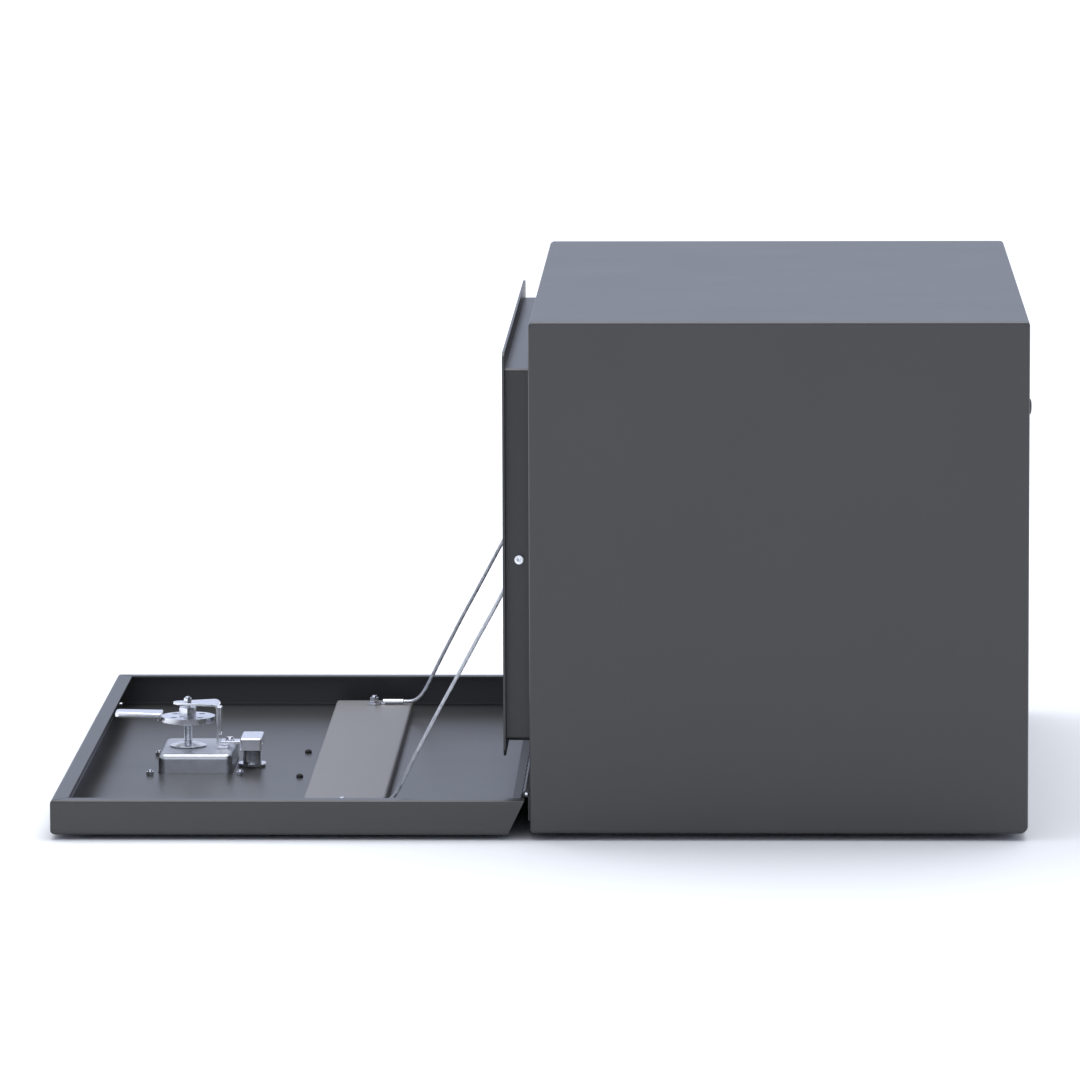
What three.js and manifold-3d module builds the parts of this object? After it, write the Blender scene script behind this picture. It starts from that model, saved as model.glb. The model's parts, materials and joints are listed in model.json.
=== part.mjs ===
// A welded steel storage box with a drop-down door held by two stay cables, and a folding T-handle
// latch with a key lock. Millimetres, +Z up. The origin is the middle of the box's underside.
// -X is the front, where the door is. Right is -Y and left is +Y, as seen by someone facing the door.
// The door is drawn open, lying level on its cables. It closes by turning up about the hinge pin.
import * as THREE from "three";
import { mergeVertices } from "three/addons/utils/BufferGeometryUtils.js";
import Module from "manifold-3d";

// Box, outside sizes.
const BOX_DEPTH = 442.7;
const BOX_WIDTH = 762;
const BOX_HEIGHT = 457.2;
const SHEET = 2; // sheet steel of the box, the door and the channel
const GAP = 0.3; // between pieces that touch
const FRONT_BEND = 4.5; // outside radii of the bends that run along Y
const TOP_BACK_BEND = 3.5;
const BOTTOM_BACK_BEND = 7;
const END_BEND = 3; // outside radius round each end panel
const END_RETURN = 6; // how far an end panel's edge turns in along Y
const END_BLANK = 40; // an end panel is drawn this deep, then cut back to its return
const FRONT_RETURN = 8; // how far the shell turns down, and up, on to the front

// Collar round the door opening, and the lip that turns out at its front.
const COLLAR_PROJECTION = 24.7;
const COLLAR_SIDE_INSET = 65; // end panel to the collar's outer side
const COLLAR_BOTTOM = 73.5;
const COLLAR_TOP_INSET = 48.4;
const COLLAR_CORNER = 4;
const LIP_SHEET = 2.2;
const LIP_SIDE = 15;
const LIP_TOP = 15.7;
const LIP_BOTTOM = 12.3;
const LIP_CORNER = 8.5;

// Hinge along the bottom of the door.
const HINGE_HEIGHT = 33;
const HINGE_PIN_RADIUS = 1.4;
const KNUCKLE_RADIUS = 3.2;
const KNUCKLES = 9; // an odd number, the outer two on the box
const KNUCKLE_GAP = 0.5;
const LEAF_SHEET = 1.5;
const LEAF_LENGTH = 24;
const HINGE_END_INSET = 18;

// Door pan, measured from the hinge pin.
const DOOR_DROP = 35; // pin to the outside of the skin
const DOOR_DEPTH = 31.3;
const DOOR_SIDE_GAP = 2.2; // the door is this much narrower than the box at each end
const DOOR_LIP = 15;
const DOOR_BEND = 3;
const SLOPE_ANGLE = THREE.MathUtils.degToRad(26.1); // hinge-side flange, from upright
const SLOPE_OFFSET = 0.4;
const SLOPE_START = 4.4; // pin to the flange's upper edge, along the slope
const CORNER_SLIT = 0.8;
const CORNER_RELIEF_RADIUS = 2.5;
const FLOOR_HOLE_RADIUS = 2.4;
const FLOOR_HOLE_SPACING = 143;
const FLOOR_HOLE_FROM_CHANNEL = 13.3;

// Stiffening channel across the door, and the stay cables.
const CHANNEL_WIDTH = 75.1;
const CHANNEL_HEIGHT = 11;
const CHANNEL_FROM_PIN = 130.7;
const CHANNEL_END_INSET = 54; // box end to channel end
const CABLE_RADIUS = 1.8;
const CABLE_SIDES = 8;
const CABLE_STEPS = 34;
const CABLE_BOLT_FROM_PIN = 167.5;
const CABLE_FROM_COLLAR = 12; // cable bolt to the collar's inner side, along Y
const STAY_BOLT_RADIUS = 2.5;
const EYE_RADIUS = 7.3;
const EYE_SHEET = 2;
const FERRULE_RADIUS = 2.45;
const FERRULE_START = 8.6; // bolt to the ferrule's near end
const FERRULE_LENGTH = 19.5;
const NUT_ACROSS_FLATS = 8;
const NUT_HEIGHT = 4.2;
const ANCHOR_OUT = 10.5; // anchor bolt, in front of the box's front face
const ANCHOR_HEIGHT = 237.5;
const ANCHOR_HEAD_RADIUS = 4.3;
const ANCHOR_HEAD = 3.4;
const STAY_BOLT_PAST_NUT = 2;
const CABLE_BOLT_HEAD = 3;
const ANCHOR_ANGLE = THREE.MathUtils.degToRad(64); // upper ferrule, below level
// The cable's route: how far in front of the box, how high, and its share of the way across in Y.
const CABLE_ROUTE = [
  [142.6, 13.75, 0],
  [137, 13.85, 0],
  [131.2, 15.3, 0.01],
  [126, 19.2, 0.03],
  [121.6, 25.2, 0.06],
  [117.2, 33.4, 0.1],
  [109, 50, 0.18],
  [98, 71.5, 0.28],
  [85, 96.5, 0.4],
  [66, 131.5, 0.57],
  [47, 167, 0.75],
  [34.3, 190, 0.88],
  [26.3, 205.2, 0.97],
  [22.95, 211.95, 1],
];

// Latch, measured from the axis of its stud.
const STUD_FROM_FREE_EDGE = 96.4;
const STUD_RADIUS = 4;
const STUD_TOP = 55.6;
const STUD_TIP_RADIUS = 2.2;
const STUD_TIP_TOP = 65;
const DISH_SHEET = 1.5;
const DISH_HEIGHT = 18;
const DISH_BACK = 44.3; // towards the hinge
const DISH_FRONT = 24.7; // towards the free edge
const DISH_HALF_WIDTH = 51;
const DISH_CORNER = 7;
const DISH_SHOULDER = 5;
const PLATE_FRONT = 41;
const PLATE_BACK = 77;
const PLATE_HALF_WIDTH = 67;
const PLATE_CORNER = 8;
const LATCH_BOLT_FRONT = 31.7;
const LATCH_BOLT_BACK = 52.3;
const LATCH_BOLT_SIDE = 57;
const LATCH_BOLT_RADIUS = 2;
const LATCH_BOLT_HEAD = 3.8;
const LATCH_BOLT_HEAD_HEIGHT = 1.9;
const LATCH_BOLT_TOP = 4.6;
const LATCH_NUT_ACROSS_FLATS = 6.6;
const LATCH_NUT_HEIGHT = 2.8;
const BRACKET_SHEET = 2;
const BRACKET_LEG = 28.8;
const BRACKET_TOP = 60;
const BRACKET_REACH = 13.7;
const BRACKET_WIDTH = 35;
const BRACKET_FOOT = 9.5;
const BRACKET_SHOULDER = 6; // leg to where the tongue starts to narrow
const BRACKET_TIP_RADIUS = 8;
const SPRING_HALF_LENGTH = 17.5;
const SPRING_WIDTH = 17;
const SPRING_SHEET = 1;
const SPRING_RISE = 3.4; // the bow spring's ends above its middle
const DISC_RADIUS = 25.5;
const DISC_TOP = 46.8;
const DISC_THICKNESS = 3.5;
const DISC_HOLES_AT = [45, 90, 135, 225, 270, 315]; // degrees round from +X
const DISC_HOLE_RADIUS = 3.2;
const DISC_HOLES_OUT = 17.34;
const ARM_REACH = 67.7;
const ARM_ROOT = 19.5;
const ARM_WIDTH = 26;
const ARM_TIP_WIDTH = 20;
const ARM_THICKNESS = 3.5;
const ARM_RISE = 1.2;
const ARM_OVERLAP = 8; // the arm's root, in from the hub
const ARM_TIP_CHAMFER = 2;
const HUB_ACROSS_FLATS = 15.5;
const HUB_HEIGHT = 8;
const TOP_NUT_ACROSS_FLATS = 7;
const TOP_NUT_HEIGHT = 3.2;

// Folding T-handle in the dish, measured from its pin.
const HANDLE_PIN_RADIUS = 2;
const HANDLE_PIN_HEIGHT = 5.5;
const SHAFT_TONGUE = 7;
const SHAFT_TONGUE_RADIUS = 5.5;
const SHAFT_BOSS_RADIUS = 8;
const FORK_RADIUS = 5;
const FORK_LEG = 3.6;
const FORK_THROAT = 11;
const HANDLE_REACH = 35.5;
const HANDLE_BAR_WIDTH = 9.5;
const HANDLE_HALF_LENGTH = 21.5;
const HANDLE_THICKNESS = 8;
const HANDLE_CORNER = 4;
const HANDLE_EDGE = 2;

// Key lock beside the dish.
const LOCK_FROM_STUD = 60.3;
const LOCK_SIDE = -4;
const LOCK_RADIUS = 8.85;
const LOCK_TOP = 17;
const LOCK_FLANGE_RADIUS = 11.5;
const LOCK_FLANGE = 1.6;
const LOCK_BORE = 6.4;
const PLUG_RADIUS = 6;
const KEY_SLOT = [2, 7, 9];
const RING_NUT_RADIUS = 14;
const RING_NUT_HEIGHT = 2.8;
const LOCK_BLOCK = [20, 46, 11.7];
const LOCK_BLOCK_CORNER = 2;
const LOCK_BLOCK_EDGE = 1.2;
const TONGUE_WIDTH = 16;
const TONGUE_THICKNESS = 3;
const TONGUE_LENGTH = 32;
const TONGUE_TIP = 31.2;
const TONGUE_BOTTOM = 21.3;
const TONGUE_SCREW_AT = 39.5;
const TONGUE_SCREW_RADIUS = 4;
const TONGUE_SCREW_HEIGHT = 3.2;

// Domed plugs high on the back panel.
const PLUG_DOME_RADIUS = 7;
const PLUG_DOME_HEIGHT = 2;
const PLUG_CROWN_RADIUS = 4.2;
const PLUG_GRIP = 3; // stem inside the panel
const PLUG_STEM_RADIUS = 4;
const PLUG_HEIGHT = 380;
const PLUG_END_INSET = 20;

const paint = { color: 0x47484b, roughness: 0.42, metalness: 0.3 };
const FINISHES = {
  blackPaint: new THREE.MeshStandardMaterial(paint),
  channelPaint: new THREE.MeshStandardMaterial({ ...paint, color: 0x6f7278 }),
  stainless: new THREE.MeshStandardMaterial({ color: 0xb9bcc2, roughness: 0.3, metalness: 1 }),
  zinc: new THREE.MeshStandardMaterial({ color: 0xcfd2d6, roughness: 0.35, metalness: 1 }),
  wire: new THREE.MeshStandardMaterial({ color: 0xa6a9ae, roughness: 0.4, metalness: 1 }),
};

const wasm = await Module();
wasm.setup();

// ---- shapes and solids ----
const BEND_STEPS = 4; // flats in a quarter turn
const THROUGH = 1; // a cutter reaches this far past the sheet it cuts
const SLIVER = 0.04; // steps smaller than this are smoothed away
const FINEST = 1e-3; // faces meant to lie in one plane are rounded into it

function toSolid(geometry) {
  const bare = geometry.clone();
  bare.deleteAttribute("normal");
  bare.deleteAttribute("uv");
  const merged = mergeVertices(bare, 1e-4);
  const points = merged.attributes.position.array.map((value) => Math.round(value / FINEST) * FINEST);
  const mesh = new wasm.Mesh({
    numProp: 3,
    vertProperties: new Float32Array(points),
    triVerts: new Uint32Array(merged.index.array),
  });
  return new wasm.Manifold(mesh);
}

function toGeometry(solid) {
  const mesh = solid.getMesh();
  const points = new THREE.BufferAttribute(new Float32Array(mesh.vertProperties), 3);
  const geometry = new THREE.BufferGeometry().setAttribute("position", points);
  geometry.setIndex(new THREE.BufferAttribute(new Uint32Array(mesh.triVerts), 1));
  geometry.computeVertexNormals();
  return geometry;
}

const join = (first, ...rest) => rest.reduce((all, one) => all.add(one), first);
const cut = (first, ...rest) => rest.reduce((all, one) => all.subtract(one), first);

// The extruded direction of a shape drawn in X and Y is turned to lie along one axis.
const TURNS = {
  x: new THREE.Matrix4().set(0, 0, 1, 0, 1, 0, 0, 0, 0, 1, 0, 0, 0, 0, 0, 1),
  y: new THREE.Matrix4().set(1, 0, 0, 0, 0, 0, -1, 0, 0, 1, 0, 0, 0, 0, 0, 1),
  z: new THREE.Matrix4(),
};

// A solid of a shape between two places on an axis. The shape's own axes are Y and Z for an
// extrusion along x, X and Z along y, and X and Y along z.
function extrude(shape, axis, low, high, bevel = {}) {
  const rounded = bevel.radius > 0;
  const settings = {
    depth: high - low - (rounded ? 2 * bevel.radius : 0),
    bevelEnabled: rounded,
    bevelThickness: bevel.radius,
    bevelSize: bevel.radius,
    bevelOffset: rounded ? -bevel.radius : 0,
    bevelSegments: bevel.steps,
    curveSegments: BEND_STEPS,
  };
  const geometry = new THREE.ExtrudeGeometry(shape, settings);
  geometry.translate(0, 0, rounded ? bevel.radius : 0);
  geometry.applyMatrix4(TURNS[axis]);
  const along = axis === "y" ? high : low;
  geometry.translate(axis === "x" ? along : 0, axis === "y" ? along : 0, axis === "z" ? along : 0);
  return toSolid(geometry);
}

function block(x, y, z) {
  const geometry = new THREE.BoxGeometry(x[1] - x[0], y[1] - y[0], z[1] - z[0]);
  geometry.translate((x[0] + x[1]) / 2, (y[0] + y[1]) / 2, (z[0] + z[1]) / 2);
  return toSolid(geometry);
}

// A round bar along an axis, through a point given in the shape's two own axes.
function rod(axis, at, radius, low, high, sides = 20, topRadius = radius) {
  const geometry = new THREE.CylinderGeometry(topRadius, radius, high - low, sides);
  geometry.rotateX(Math.PI / 2);
  geometry.translate(at[0], at[1], (low + high) / 2);
  if (axis === "y") geometry.scale(1, 1, -1).applyMatrix4(TURNS.y);
  else geometry.applyMatrix4(TURNS[axis]);
  return toSolid(axis === "y" ? turnedRound(geometry) : geometry);
}

// A mirrored geometry with its faces turned to point out again.
function turnedRound(geometry) {
  const index = geometry.index.array;
  for (let i = 0; i < index.length; i += 3) [index[i], index[i + 1]] = [index[i + 1], index[i]];
  return geometry;
}

const hexBar = (axis, at, acrossFlats, low, high) =>
  rod(axis, at, acrossFlats / Math.sqrt(3), low, high, 6);

// A rectangle from (x0, y0) to (x1, y1) whose corners have radii, from the low-low corner round.
function roundedRectangle(x0, y0, x1, y1, radii) {
  const [a, b, c, d] = Array.isArray(radii) ? radii : [radii, radii, radii, radii];
  const shape = new THREE.Shape();
  shape.moveTo(x0 + a, y0);
  shape.lineTo(x1 - b, y0);
  shape.absarc(x1 - b, y0 + b, b, -Math.PI / 2, 0);
  shape.lineTo(x1, y1 - c);
  shape.absarc(x1 - c, y1 - c, c, 0, Math.PI / 2);
  shape.lineTo(x0 + d, y1);
  shape.absarc(x0 + d, y1 - d, d, Math.PI / 2, Math.PI);
  shape.lineTo(x0, y0 + a);
  shape.absarc(x0 + a, y0 + a, a, Math.PI, 1.5 * Math.PI);
  return shape;
}

// The section of a bent strip: its middle line's corners, its thickness, and the middle line's
// radius at each bend.
function bentStrip(corners, thickness, radii, steps = BEND_STEPS) {
  const points = corners.map(([x, y]) => new THREE.Vector2(x, y));
  const line = [];
  points.forEach((point, i) => {
    if (i === 0 || i === points.length - 1) {
      const other = points[i === 0 ? 1 : i - 1];
      const way = point.clone().sub(other).normalize();
      const along = i === 0 ? way.negate() : way;
      line.push([point, new THREE.Vector2(-along.y, along.x)]);
      return;
    }
    const radius = Array.isArray(radii) ? radii[i - 1] : radii;
    const before = point.clone().sub(points[i - 1]).normalize();
    const after = points[i + 1].clone().sub(point).normalize();
    const turn = Math.atan2(before.cross(after), before.dot(after));
    const back = radius * Math.tan(Math.abs(turn) / 2);
    const side = Math.sign(turn);
    const start = point.clone().addScaledVector(before, -back);
    const centre = start.clone().add(new THREE.Vector2(-before.y, before.x).multiplyScalar(side * radius));
    for (let k = 0; k <= steps; k++) {
      const arm = start.clone().sub(centre).rotateAround(new THREE.Vector2(), (turn * k) / steps);
      line.push([centre.clone().add(arm), arm.normalize().multiplyScalar(-side)]);
    }
  });
  const left = line.map(([p, n]) => p.clone().addScaledVector(n, thickness / 2));
  const right = line.map(([p, n]) => p.clone().addScaledVector(n, -thickness / 2)).reverse();
  return new THREE.Shape([...left, ...right]);
}

// A flat washer-like ring or a nut, made round a bolt.
const withHole = (solid, axis, at, radius, low, high) =>
  cut(solid, rod(axis, at, radius, low - 1, high + 1));

const nutOn = (at, acrossFlats, bolt, low, height) =>
  withHole(hexBar("z", at, acrossFlats, low, low + height), "z", at, bolt + GAP, low, low + height);

function add(group, name, solid, material) {
  const mesh = new THREE.Mesh(toGeometry(solid), material);
  mesh.name = name;
  group.add(mesh);
}

const SIDES = { right: -1, left: 1 };

// ---- places worked out from the sizes ----
const FRONT = -BOX_DEPTH / 2;
const BACK = BOX_DEPTH / 2;
const HALF_WIDTH = BOX_WIDTH / 2;
const HALF_SHEET = SHEET / 2;
const COLLAR_HALF = HALF_WIDTH - COLLAR_SIDE_INSET;
const COLLAR_TOP = BOX_HEIGHT - COLLAR_TOP_INSET;
const HINGE_OUT = KNUCKLE_RADIUS + GAP; // pin in front of the box's front face
const ANCHOR_INSIDE = COLLAR_HALF - SHEET;

const box = new THREE.Group();

// ---- box shell: bottom, back and top in one bent sheet, with short returns on the front ----
function boxShell() {
  const path = [
    [FRONT + HALF_SHEET, BOX_HEIGHT - FRONT_RETURN],
    [FRONT + HALF_SHEET, BOX_HEIGHT - HALF_SHEET],
    [BACK - HALF_SHEET, BOX_HEIGHT - HALF_SHEET],
    [BACK - HALF_SHEET, HALF_SHEET],
    [FRONT + HALF_SHEET, HALF_SHEET],
    [FRONT + HALF_SHEET, FRONT_RETURN],
  ];
  const bends = [FRONT_BEND, TOP_BACK_BEND, BOTTOM_BACK_BEND, FRONT_BEND].map((r) => r - HALF_SHEET);
  const end = HALF_WIDTH - END_RETURN - GAP;
  const sheet = extrude(bentStrip(path, SHEET, bends), "y", -end, end);
  const holes = Object.values(SIDES).map((side) =>
    rod("x", plugPlace(side), PLUG_STEM_RADIUS + GAP, BACK - SHEET - THROUGH, BACK + THROUGH),
  );
  return cut(sheet, ...holes);
}

const plugPlace = (side) => [side * (HALF_WIDTH - PLUG_END_INSET), PLUG_HEIGHT];

// An end panel is a shallow pan whose edge turns in all round.
function endPanel(side) {
  const radii = [FRONT_BEND, BOTTOM_BACK_BEND, TOP_BACK_BEND, FRONT_BEND];
  const pan = (inset) => {
    const shape = roundedRectangle(
      FRONT + inset, inset, BACK - inset, BOX_HEIGHT - inset,
      radii.map((r) => r - inset),
    );
    const ends = [-HALF_WIDTH + inset, -HALF_WIDTH + END_BLANK];
    return extrude(shape, "y", ends[0], ends[1], { radius: END_BEND - inset, steps: 3 });
  };
  const kept = [-HALF_WIDTH - THROUGH, -HALF_WIDTH + END_RETURN];
  const slab = block([FRONT - THROUGH, BACK + THROUGH], kept, [-THROUGH, BOX_HEIGHT + THROUGH]);
  const panel = pan(0).intersect(slab).subtract(pan(SHEET));
  return side < 0 ? panel : panel.mirror([0, 1, 0]);
}

function frontPanel() {
  const edge = HALF_WIDTH - END_RETURN - GAP;
  const low = FRONT_RETURN + GAP;
  const plate = block([FRONT, FRONT + SHEET], [-edge, edge], [low, BOX_HEIGHT - low]);
  return cut(plate, extrude(collarOutline(GAP), "x", FRONT - THROUGH, FRONT + SHEET + THROUGH));
}

const collarOutline = (grow) =>
  roundedRectangle(
    -COLLAR_HALF - grow, COLLAR_BOTTOM - grow, COLLAR_HALF + grow, COLLAR_TOP + grow,
    COLLAR_CORNER + grow,
  );

function doorCollar() {
  const nose = FRONT - COLLAR_PROJECTION;
  const lip = roundedRectangle(
    -COLLAR_HALF - LIP_SIDE, COLLAR_BOTTOM - LIP_BOTTOM,
    COLLAR_HALF + LIP_SIDE, COLLAR_TOP + LIP_TOP,
    LIP_CORNER,
  );
  const solid = join(
    extrude(collarOutline(0), "x", nose + LIP_SHEET / 2, FRONT + SHEET),
    extrude(lip, "x", nose, nose + LIP_SHEET),
  );
  const holes = Object.values(SIDES).map((side) => {
    const middle = side * (COLLAR_HALF - HALF_SHEET);
    const ends = [middle - SHEET, middle + SHEET];
    return rod("y", [FRONT - ANCHOR_OUT, ANCHOR_HEIGHT], STAY_BOLT_RADIUS + GAP, ...ends, 16);
  });
  const inside = extrude(collarOutline(-SHEET), "x", nose - THROUGH, FRONT + SHEET + THROUGH);
  return cut(solid, inside, ...holes);
}

add(box, "body_shell", boxShell(), FINISHES.blackPaint);
for (const [name, side] of Object.entries(SIDES)) {
  add(box, name + "_end_panel", endPanel(side), FINISHES.blackPaint);
}
add(box, "front_panel", frontPanel(), FINISHES.blackPaint);
add(box, "door_collar", doorCollar(), FINISHES.blackPaint);

// ---- back plugs: a low dome outside, on a stem pressed through the panel ----
for (const [name, side] of Object.entries(SIDES)) {
  const at = plugPlace(side);
  const seat = BACK + GAP;
  const dome = rod("x", at, PLUG_DOME_RADIUS, seat, seat + PLUG_DOME_HEIGHT, 24, PLUG_CROWN_RADIUS);
  const stem = rod("x", at, PLUG_STEM_RADIUS, BACK - SHEET - PLUG_GRIP, seat + GAP, 16);
  add(box, name + "_back_plug", join(dome, stem), FINISHES.blackPaint);
}

// ---- hinge: knuckles and leaves are worked out about the pin, in the door's own frame ----
const hingeHalf = HALF_WIDTH - HINGE_END_INSET;
const knuckleLength = (2 * hingeHalf) / KNUCKLES;

// The strips along the pin that belong to one leaf: the box has the even ones, the door the odd.
function knuckleSpans(first) {
  const spans = [];
  for (let i = first; i < KNUCKLES; i += 2) {
    const low = -hingeHalf + i * knuckleLength;
    spans.push([low + KNUCKLE_GAP / 2, low + knuckleLength - KNUCKLE_GAP / 2]);
  }
  return spans;
}

// A leaf hangs straight down from its knuckles, its face touching their circle, and is then turned.
function hingeLeaf(first, angle, side) {
  const face = KNUCKLE_RADIUS - LEAF_SHEET;
  const x = side > 0 ? [face, KNUCKLE_RADIUS] : [-KNUCKLE_RADIUS, -face];
  const spans = knuckleSpans(first);
  const ends = [-hingeHalf + KNUCKLE_GAP / 2, hingeHalf - KNUCKLE_GAP / 2];
  const plate = block(x, ends, [-LEAF_LENGTH, -KNUCKLE_RADIUS - KNUCKLE_GAP * 2]);
  const tabs = spans.map((span) => block(x, span, [-KNUCKLE_RADIUS - KNUCKLE_GAP * 3, 0]));
  const tubes = spans.map((span) => rod("y", [0, 0], KNUCKLE_RADIUS, ...span, 16));
  const bore = rod("y", [0, 0], HINGE_PIN_RADIUS + GAP, -HALF_WIDTH, HALF_WIDTH, 12);
  return cut(join(plate, ...tabs, ...tubes), bore).rotate([0, THREE.MathUtils.radToDeg(angle), 0]);
}

const hingeFrame = new THREE.Group();
hingeFrame.position.set(FRONT - HINGE_OUT, 0, HINGE_HEIGHT);
box.add(hingeFrame);
add(hingeFrame, "hinge_box_leaf", hingeLeaf(0, 0, 1), FINISHES.blackPaint);
const hingePin = rod("y", [0, 0], HINGE_PIN_RADIUS, -hingeHalf, hingeHalf, 12);
add(hingeFrame, "hinge_pin", hingePin, FINISHES.zinc);

// ---- stay cables, their eyes and bolts ----
const eyeInside = ANCHOR_INSIDE - GAP; // outer face of the upper eye, along Y
const eyeMiddle = eyeInside - FERRULE_RADIUS;
const boltSide = ANCHOR_INSIDE - CABLE_FROM_COLLAR;

// A flat eye with its ferrule, drawn about the bolt's axis with the ferrule along +X.
function cableEye(flatTop) {
  const end = FERRULE_START + FERRULE_LENGTH;
  const flat = rod("z", [0, 0], EYE_RADIUS, flatTop - EYE_SHEET, flatTop, 24);
  const neckEnds = [EYE_RADIUS / 2, FERRULE_START + SHEET];
  const neck = block(neckEnds, [-FERRULE_RADIUS, FERRULE_RADIUS], [flatTop - EYE_SHEET, flatTop]);
  const middle = [0, flatTop - EYE_SHEET + FERRULE_RADIUS];
  const ferrule = rod("x", middle, FERRULE_RADIUS, FERRULE_START, end, 16);
  const hole = [flatTop - EYE_SHEET - THROUGH, flatTop + THROUGH];
  return withHole(join(flat, neck, ferrule), "z", [0, 0], STAY_BOLT_RADIUS + GAP, ...hole);
}

function stayCable(side) {
  const points = CABLE_ROUTE.map(([out, up, share]) =>
    new THREE.Vector3(FRONT - out, side * (boltSide + (eyeMiddle - boltSide) * share), up),
  );
  const route = new THREE.CatmullRomCurve3(points, false, "centripetal");
  const section = new THREE.Shape();
  section.absarc(0, 0, CABLE_RADIUS, 0, 2 * Math.PI);
  const round = new THREE.Shape(section.getPoints(CABLE_SIDES).slice(0, CABLE_SIDES));
  return toSolid(new THREE.ExtrudeGeometry(round, { extrudePath: route, steps: CABLE_STEPS }));
}

for (const [name, side] of Object.entries(SIDES)) {
  const at = [FRONT - ANCHOR_OUT, ANCHOR_HEIGHT];
  const along = (low, high) => (side > 0 ? [low, high] : [-high, -low]);
  const headSeat = COLLAR_HALF + GAP;
  const head = rod("y", at, ANCHOR_HEAD_RADIUS, ...along(headSeat, headSeat + ANCHOR_HEAD), 24);
  const tip = eyeInside - EYE_SHEET - NUT_HEIGHT - STAY_BOLT_PAST_NUT;
  const shank = rod("y", at, STAY_BOLT_RADIUS, ...along(tip, headSeat + THROUGH), 16);
  add(box, name + "_anchor_bolt", join(head, shank), FINISHES.zinc);
  const nutOuter = eyeInside - EYE_SHEET - GAP;
  const nut = hexBar("y", at, NUT_ACROSS_FLATS, ...along(nutOuter - NUT_HEIGHT, nutOuter));
  const bored = withHole(nut, "y", at, STAY_BOLT_RADIUS + GAP, ...along(nutOuter - NUT_HEIGHT, nutOuter));
  add(box, name + "_anchor_nut", bored, FINISHES.zinc);

  const upper = new THREE.Group();
  upper.position.set(at[0], side * (eyeInside - EYE_SHEET), at[1]);
  upper.rotation.set(side * -Math.PI / 2, 0, 0);
  box.add(upper);
  const swing = side * (180 + THREE.MathUtils.radToDeg(-ANCHOR_ANGLE));
  const eye = cableEye(0).mirror([0, 0, 1]);
  add(upper, name + "_upper_cable_end", eye.rotate([0, 0, swing]), FINISHES.zinc);
  add(box, name + "_stay_cable", stayCable(side), FINISHES.wire);
}

// ---- door: everything below is in a frame whose origin is on the hinge pin ----
const door = new THREE.Group();
door.position.set(FRONT - HINGE_OUT, 0, HINGE_HEIGHT);
box.add(door);

const DOOR_REACH = BOX_HEIGHT - HINGE_HEIGHT; // the closed door's edge is level with the box top
const DOOR_HALF = HALF_WIDTH - DOOR_SIDE_GAP;
const SKIN = -DOOR_DROP;
const FLOOR = SKIN + SHEET;
const RIM = SKIN + DOOR_DEPTH;
const studX = -DOOR_REACH + STUD_FROM_FREE_EDGE;
const slopeDown = new THREE.Vector2(-Math.sin(SLOPE_ANGLE), -Math.cos(SLOPE_ANGLE));
const slopeIn = new THREE.Vector2(slopeDown.y, -slopeDown.x);

// The point of the slope's line, moved out of the sheet's middle by some distance, at a height.
function slopeAt(height, out) {
  const offset = SLOPE_OFFSET - out;
  const along = (height - slopeIn.y * offset) / slopeDown.y;
  return [slopeIn.x * offset + slopeDown.x * along, height];
}

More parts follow.
